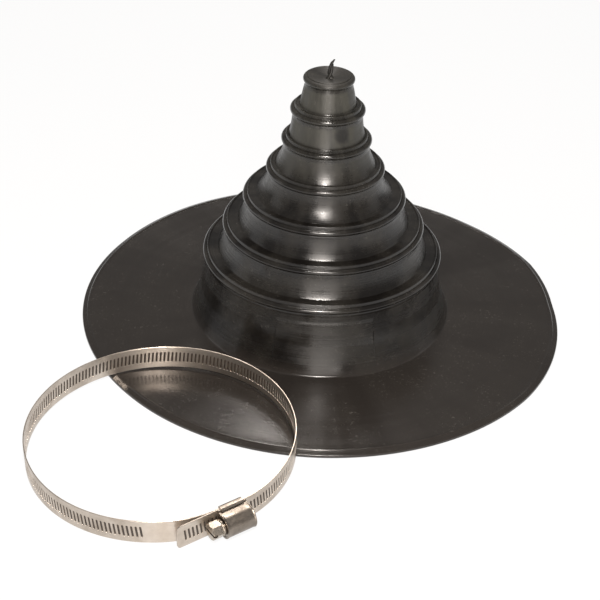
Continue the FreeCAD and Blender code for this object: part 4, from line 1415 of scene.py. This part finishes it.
    def head(self) -> Surface:
        """The hexagon with its chamfer and driver slot.

        The radius at an angle is flats / 2 / cos(angle from the nearest flat's middle), and no
        more than the chamfer's cone allows. Past the slot's floor the head goes on as two
        halves, whose points nearer the slot than its side are moved to that side.

        Returns:
            The whole part and the two halves.
        """
        base = -self.half_flat - self.washer_gap - self.washer_thickness + 0.05
        end = base - self.hex_height
        floor = end + self.drive_depth
        turns = np.linspace(0.0, 2.0 * math.pi, 144, endpoint=False) + 0.35
        apart = np.mod(turns, math.pi / 3.0) - math.pi / 6.0
        hexagon = self.hex_flats / 2.0 / np.cos(apart)

        def outline(y: float) -> Array:
            """The head's radius by angle.

            Args:
                y: the place along the screw.

            Returns:
                One radius to an angle.
            """
            cone_end = self.hex_flats / 2.0 + 0.05 + (y - end) * 1.15
            cone_base = self.hex_flats / 2.0 + 0.2 + (base - y) * 1.6
            return np.minimum(hexagon, min(cone_end, cone_base))

        def rings(places: Sequence[float], clip: int) -> Array:
            """Rings of the head.

            Args:
                places: where they are along the screw.
                clip: 0 for whole rings, 1 or -1 for one half.

            Returns:
                Rings by points by three.
            """
            rows = []
            for y in places:
                r = outline(y) - (0.12 if y == end else 0.0)
                u, v = r * np.cos(turns), r * np.sin(turns)
                if clip:
                    v = clip * np.maximum(clip * v, self.drive_width / 2)
                rows.append(np.stack([self.axis + u, np.full_like(u, y), self.mid_width + v], axis=-1))
            return np.array(rows)

        surface = Surface()
        near_end = [end + d for d in (0.0, 0.08, 0.35, 0.7, 1.0)]
        whole = rings([base, base - 0.25, base - 0.6, base - 1.2, floor], 0)
        surface.add_lathe(whole, (whole[0].mean(axis=0), whole[-1].mean(axis=0)))
        for clip in (1, -1):
            half = rings([floor + 0.02, *near_end[::-1]], clip)
            surface.add_lathe(half, (half[0].mean(axis=0), half[-1].mean(axis=0)))
        return surface

    def build(self, placing: Placing, finishes: ClampFinishes) -> None:
        """Make the clamp's pieces, in place of its plain solids.

        Args:
            placing: how the clamp lies in the frame.
            finishes: its materials.
        """
        sheet, screw = finishes.sheet, finishes.screw
        # A dark sheet in every slot: painted shade.
        make_piece("slot_shade_sheet", self.slot_shade_sheet(), Body.STILL, finishes.shade_sheet, 40.0, placing)
        surface, along = self.band()
        strip = make_piece("band_strip", surface, Body.STILL, finishes.band, 40.0, placing, along)
        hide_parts("clamp_band")
        channel = finishes.channel
        saddle = make_piece("saddle_channel", self.saddle(), Body.STILL, channel, 50.0, placing)
        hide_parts("clamp_saddle")
        dome = make_piece("housing_dome", self.dome(), Body.STILL, sheet, 50.0, placing)
        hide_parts("clamp_housing")
        walls = (("housing_near_wall", -1, self.neck_radius), ("housing_far_wall", 1, self.tip_radius))
        for name, side, radius in walls:
            plate = self.end_plate(side, radius + self.bore_gap)
            make_piece(name, plate, Body.STILL, sheet, 40.0, placing)
        shank = make_piece("screw_shank", self.shank(), Body.SCREW, screw, 50.0, placing)
        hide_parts("clamp_screw")
        make_piece("screw_head", self.head(), Body.SCREW, screw, 30.0, placing)


# ------------------------------------------------------------------ the studio


WARM = (1.0, 0.93, 0.87)
WHITE = (1.0, 1.0, 1.0)


@dataclass(frozen=True)
class LampPlan:
    """An area lamp: its places and size in metres, and its power in watts."""

    name: str
    place: tuple[float, float, float]
    target: tuple[float, float, float]
    size: tuple[float, float]
    power: float
    colour: tuple[float, float, float] = WHITE


@dataclass
class Studio:
    """The floor, the light and the camera, which looks past the boot's middle by two offsets."""

    lens: float = 84.0
    sensor: float = 36.0
    distance: float = 972.4
    pitch: float = 33.0
    roll: float = 1.92
    middle_right: float = 13.544
    middle_down: float = 4.098
    floor_reach: float = 8.0
    floor_height: float = -0.0003
    round_light: float = 0.21
    lamps: tuple[LampPlan, ...] = (
        LampPlan("front", (-0.02, -0.86, 0.70), (0.0, 0.0, 0.07), (0.42, 0.16), 8.5, WARM),
        LampPlan("key", (0.0, -0.80, 0.92), (0.0, 0.0, 0.08), (0.08, 0.055), 10.0, WARM),
        LampPlan("bounce", (0.0, -0.40, 0.004), (0.0, -0.02, 0.16), (0.24, 0.20), 0.5, WARM),
        LampPlan("overhead", (-0.03, 0.75, 1.35), (0.0, 0.0, 0.05), (0.16, 0.9), 10.0, WARM),
        LampPlan("left", (-1.3, 0.1, 0.5), (0.0, 0.0, 0.08), (0.5, 0.9), 0.7),
        LampPlan("right", (1.3, 0.2, 0.5), (0.0, 0.0, 0.08), (0.5, 0.9), 0.5),
    )

    def camera(self) -> None:
        """The camera, from how far, how high and how turned it looks at the boot's middle."""
        pitch, roll = math.radians(self.pitch), math.radians(self.roll)
        ahead = Vector((0.0, math.cos(pitch), -math.sin(pitch)))
        level = Vector((1.0, 0.0, 0.0))
        upright = Vector((0.0, math.sin(pitch), math.cos(pitch)))
        right = level * math.cos(roll) + upright * math.sin(roll)
        up = upright * math.cos(roll) - level * math.sin(roll)
        place = -(right * self.middle_right - up * self.middle_down + ahead * self.distance)
        data = bpy.data.cameras.new("camera")
        data.sensor_width, data.lens = self.sensor, self.lens
        data.clip_start, data.clip_end = 0.05, 30.0
        camera = bpy.data.objects.new("camera", data)
        turn = Matrix((right, up, -ahead)).transposed()
        camera.matrix_world = Matrix.Translation(place * MILLIMETRE) @ turn.to_4x4()
        bpy.context.scene.collection.objects.link(camera)
        bpy.context.scene.camera = camera

    def put_up(self, plan: LampPlan) -> None:
        """Put up an area lamp, turned towards its target and hidden from the camera.

        Args:
            plan: what the lamp is and where it goes.
        """
        data = bpy.data.lights.new(plan.name, "AREA")
        data.shape = "RECTANGLE"
        data.size, data.size_y = plan.size
        data.energy = plan.power
        data.color = plan.colour
        lamp = bpy.data.objects.new(plan.name, data)
        lamp.location = plan.place
        lamp.visible_camera = False
        towards = Vector(plan.target) - Vector(plan.place)
        lamp.rotation_euler = towards.to_track_quat("-Z", "Y").to_euler()
        bpy.context.scene.collection.objects.link(lamp)

    def build(self) -> None:
        """Put up the floor, the lamps, the world and the camera."""
        floor = bpy.data.meshes.new("floor")
        reach, low = self.floor_reach, self.floor_height
        corners = [(-reach, -reach, low), (reach, -reach, low), (reach, reach, low), (-reach, reach, low)]
        floor.from_pydata(corners, [], [(0, 1, 2, 3)])
        floor.materials.append(PaleFloor().build())
        ground = bpy.data.objects.new("floor", floor)
        bpy.context.scene.collection.objects.link(ground)

        for plan in self.lamps:
            self.put_up(plan)
        self.surround()
        self.camera()
        bpy.context.scene.view_settings.view_transform = "Standard"

    def surround(self) -> None:
        """The world: white to the camera, and a weaker white that lights the object."""
        world = bpy.data.worlds.new("surroundings")
        world.use_nodes = True
        tree = world.node_tree
        rays = tree.nodes.new("ShaderNodeLightPath")
        seen = tree.nodes.new("ShaderNodeMapRange")
        seen.inputs[3].default_value, seen.inputs[4].default_value = self.round_light, 1.0
        tree.links.new(rays.outputs["Is Camera Ray"], seen.inputs[0])
        back = tree.nodes["Background"]
        back.inputs[0].default_value = (1.0, 1.0, 1.0, 1.0)
        tree.links.new(seen.outputs[0], back.inputs[1])
        bpy.context.scene.world = world


def main() -> None:
    """Build every sub-assembly, then the studio."""
    logging.basicConfig(level=logging.INFO, format="%(message)s")
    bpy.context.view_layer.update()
    boot = RubberBoot()
    boot.build(MouldedRubber().build())
    clamp = WormClamp()
    rim, propped = boot.flange_radius - boot.border_inset, boot.flange_thickness + boot.border_rise
    band = RolledSteel("rolled_band", mapped=True)
    sheet = RolledSteel(
        "pressed_sheet", bright=(0.31, 0.27, 0.23), dull=(0.14, 0.12, 0.10), smooth=0.26, rough=0.42
    )
    screw = RolledSteel(
        "plated_screw", bright=(0.44, 0.39, 0.33), dull=(0.21, 0.18, 0.145), smooth=0.24, rough=0.42
    )
    channel = RolledSteel(
        "pressed_channel", bright=(0.34, 0.30, 0.26), dull=(0.17, 0.145, 0.12), smooth=0.27, rough=0.42
    )
    finishes = ClampFinishes(
        band=band.build(),
        sheet=sheet.build(),
        screw=screw.build(),
        channel=channel.build(),
        # The dark sheet in the slots: painted shade.
        shade_sheet=SlotShadeSheet().build(),
    )
    clamp.build(clamp.placing(rim, propped), finishes)
    Studio().build()


if __name__ == "__main__":
    main()
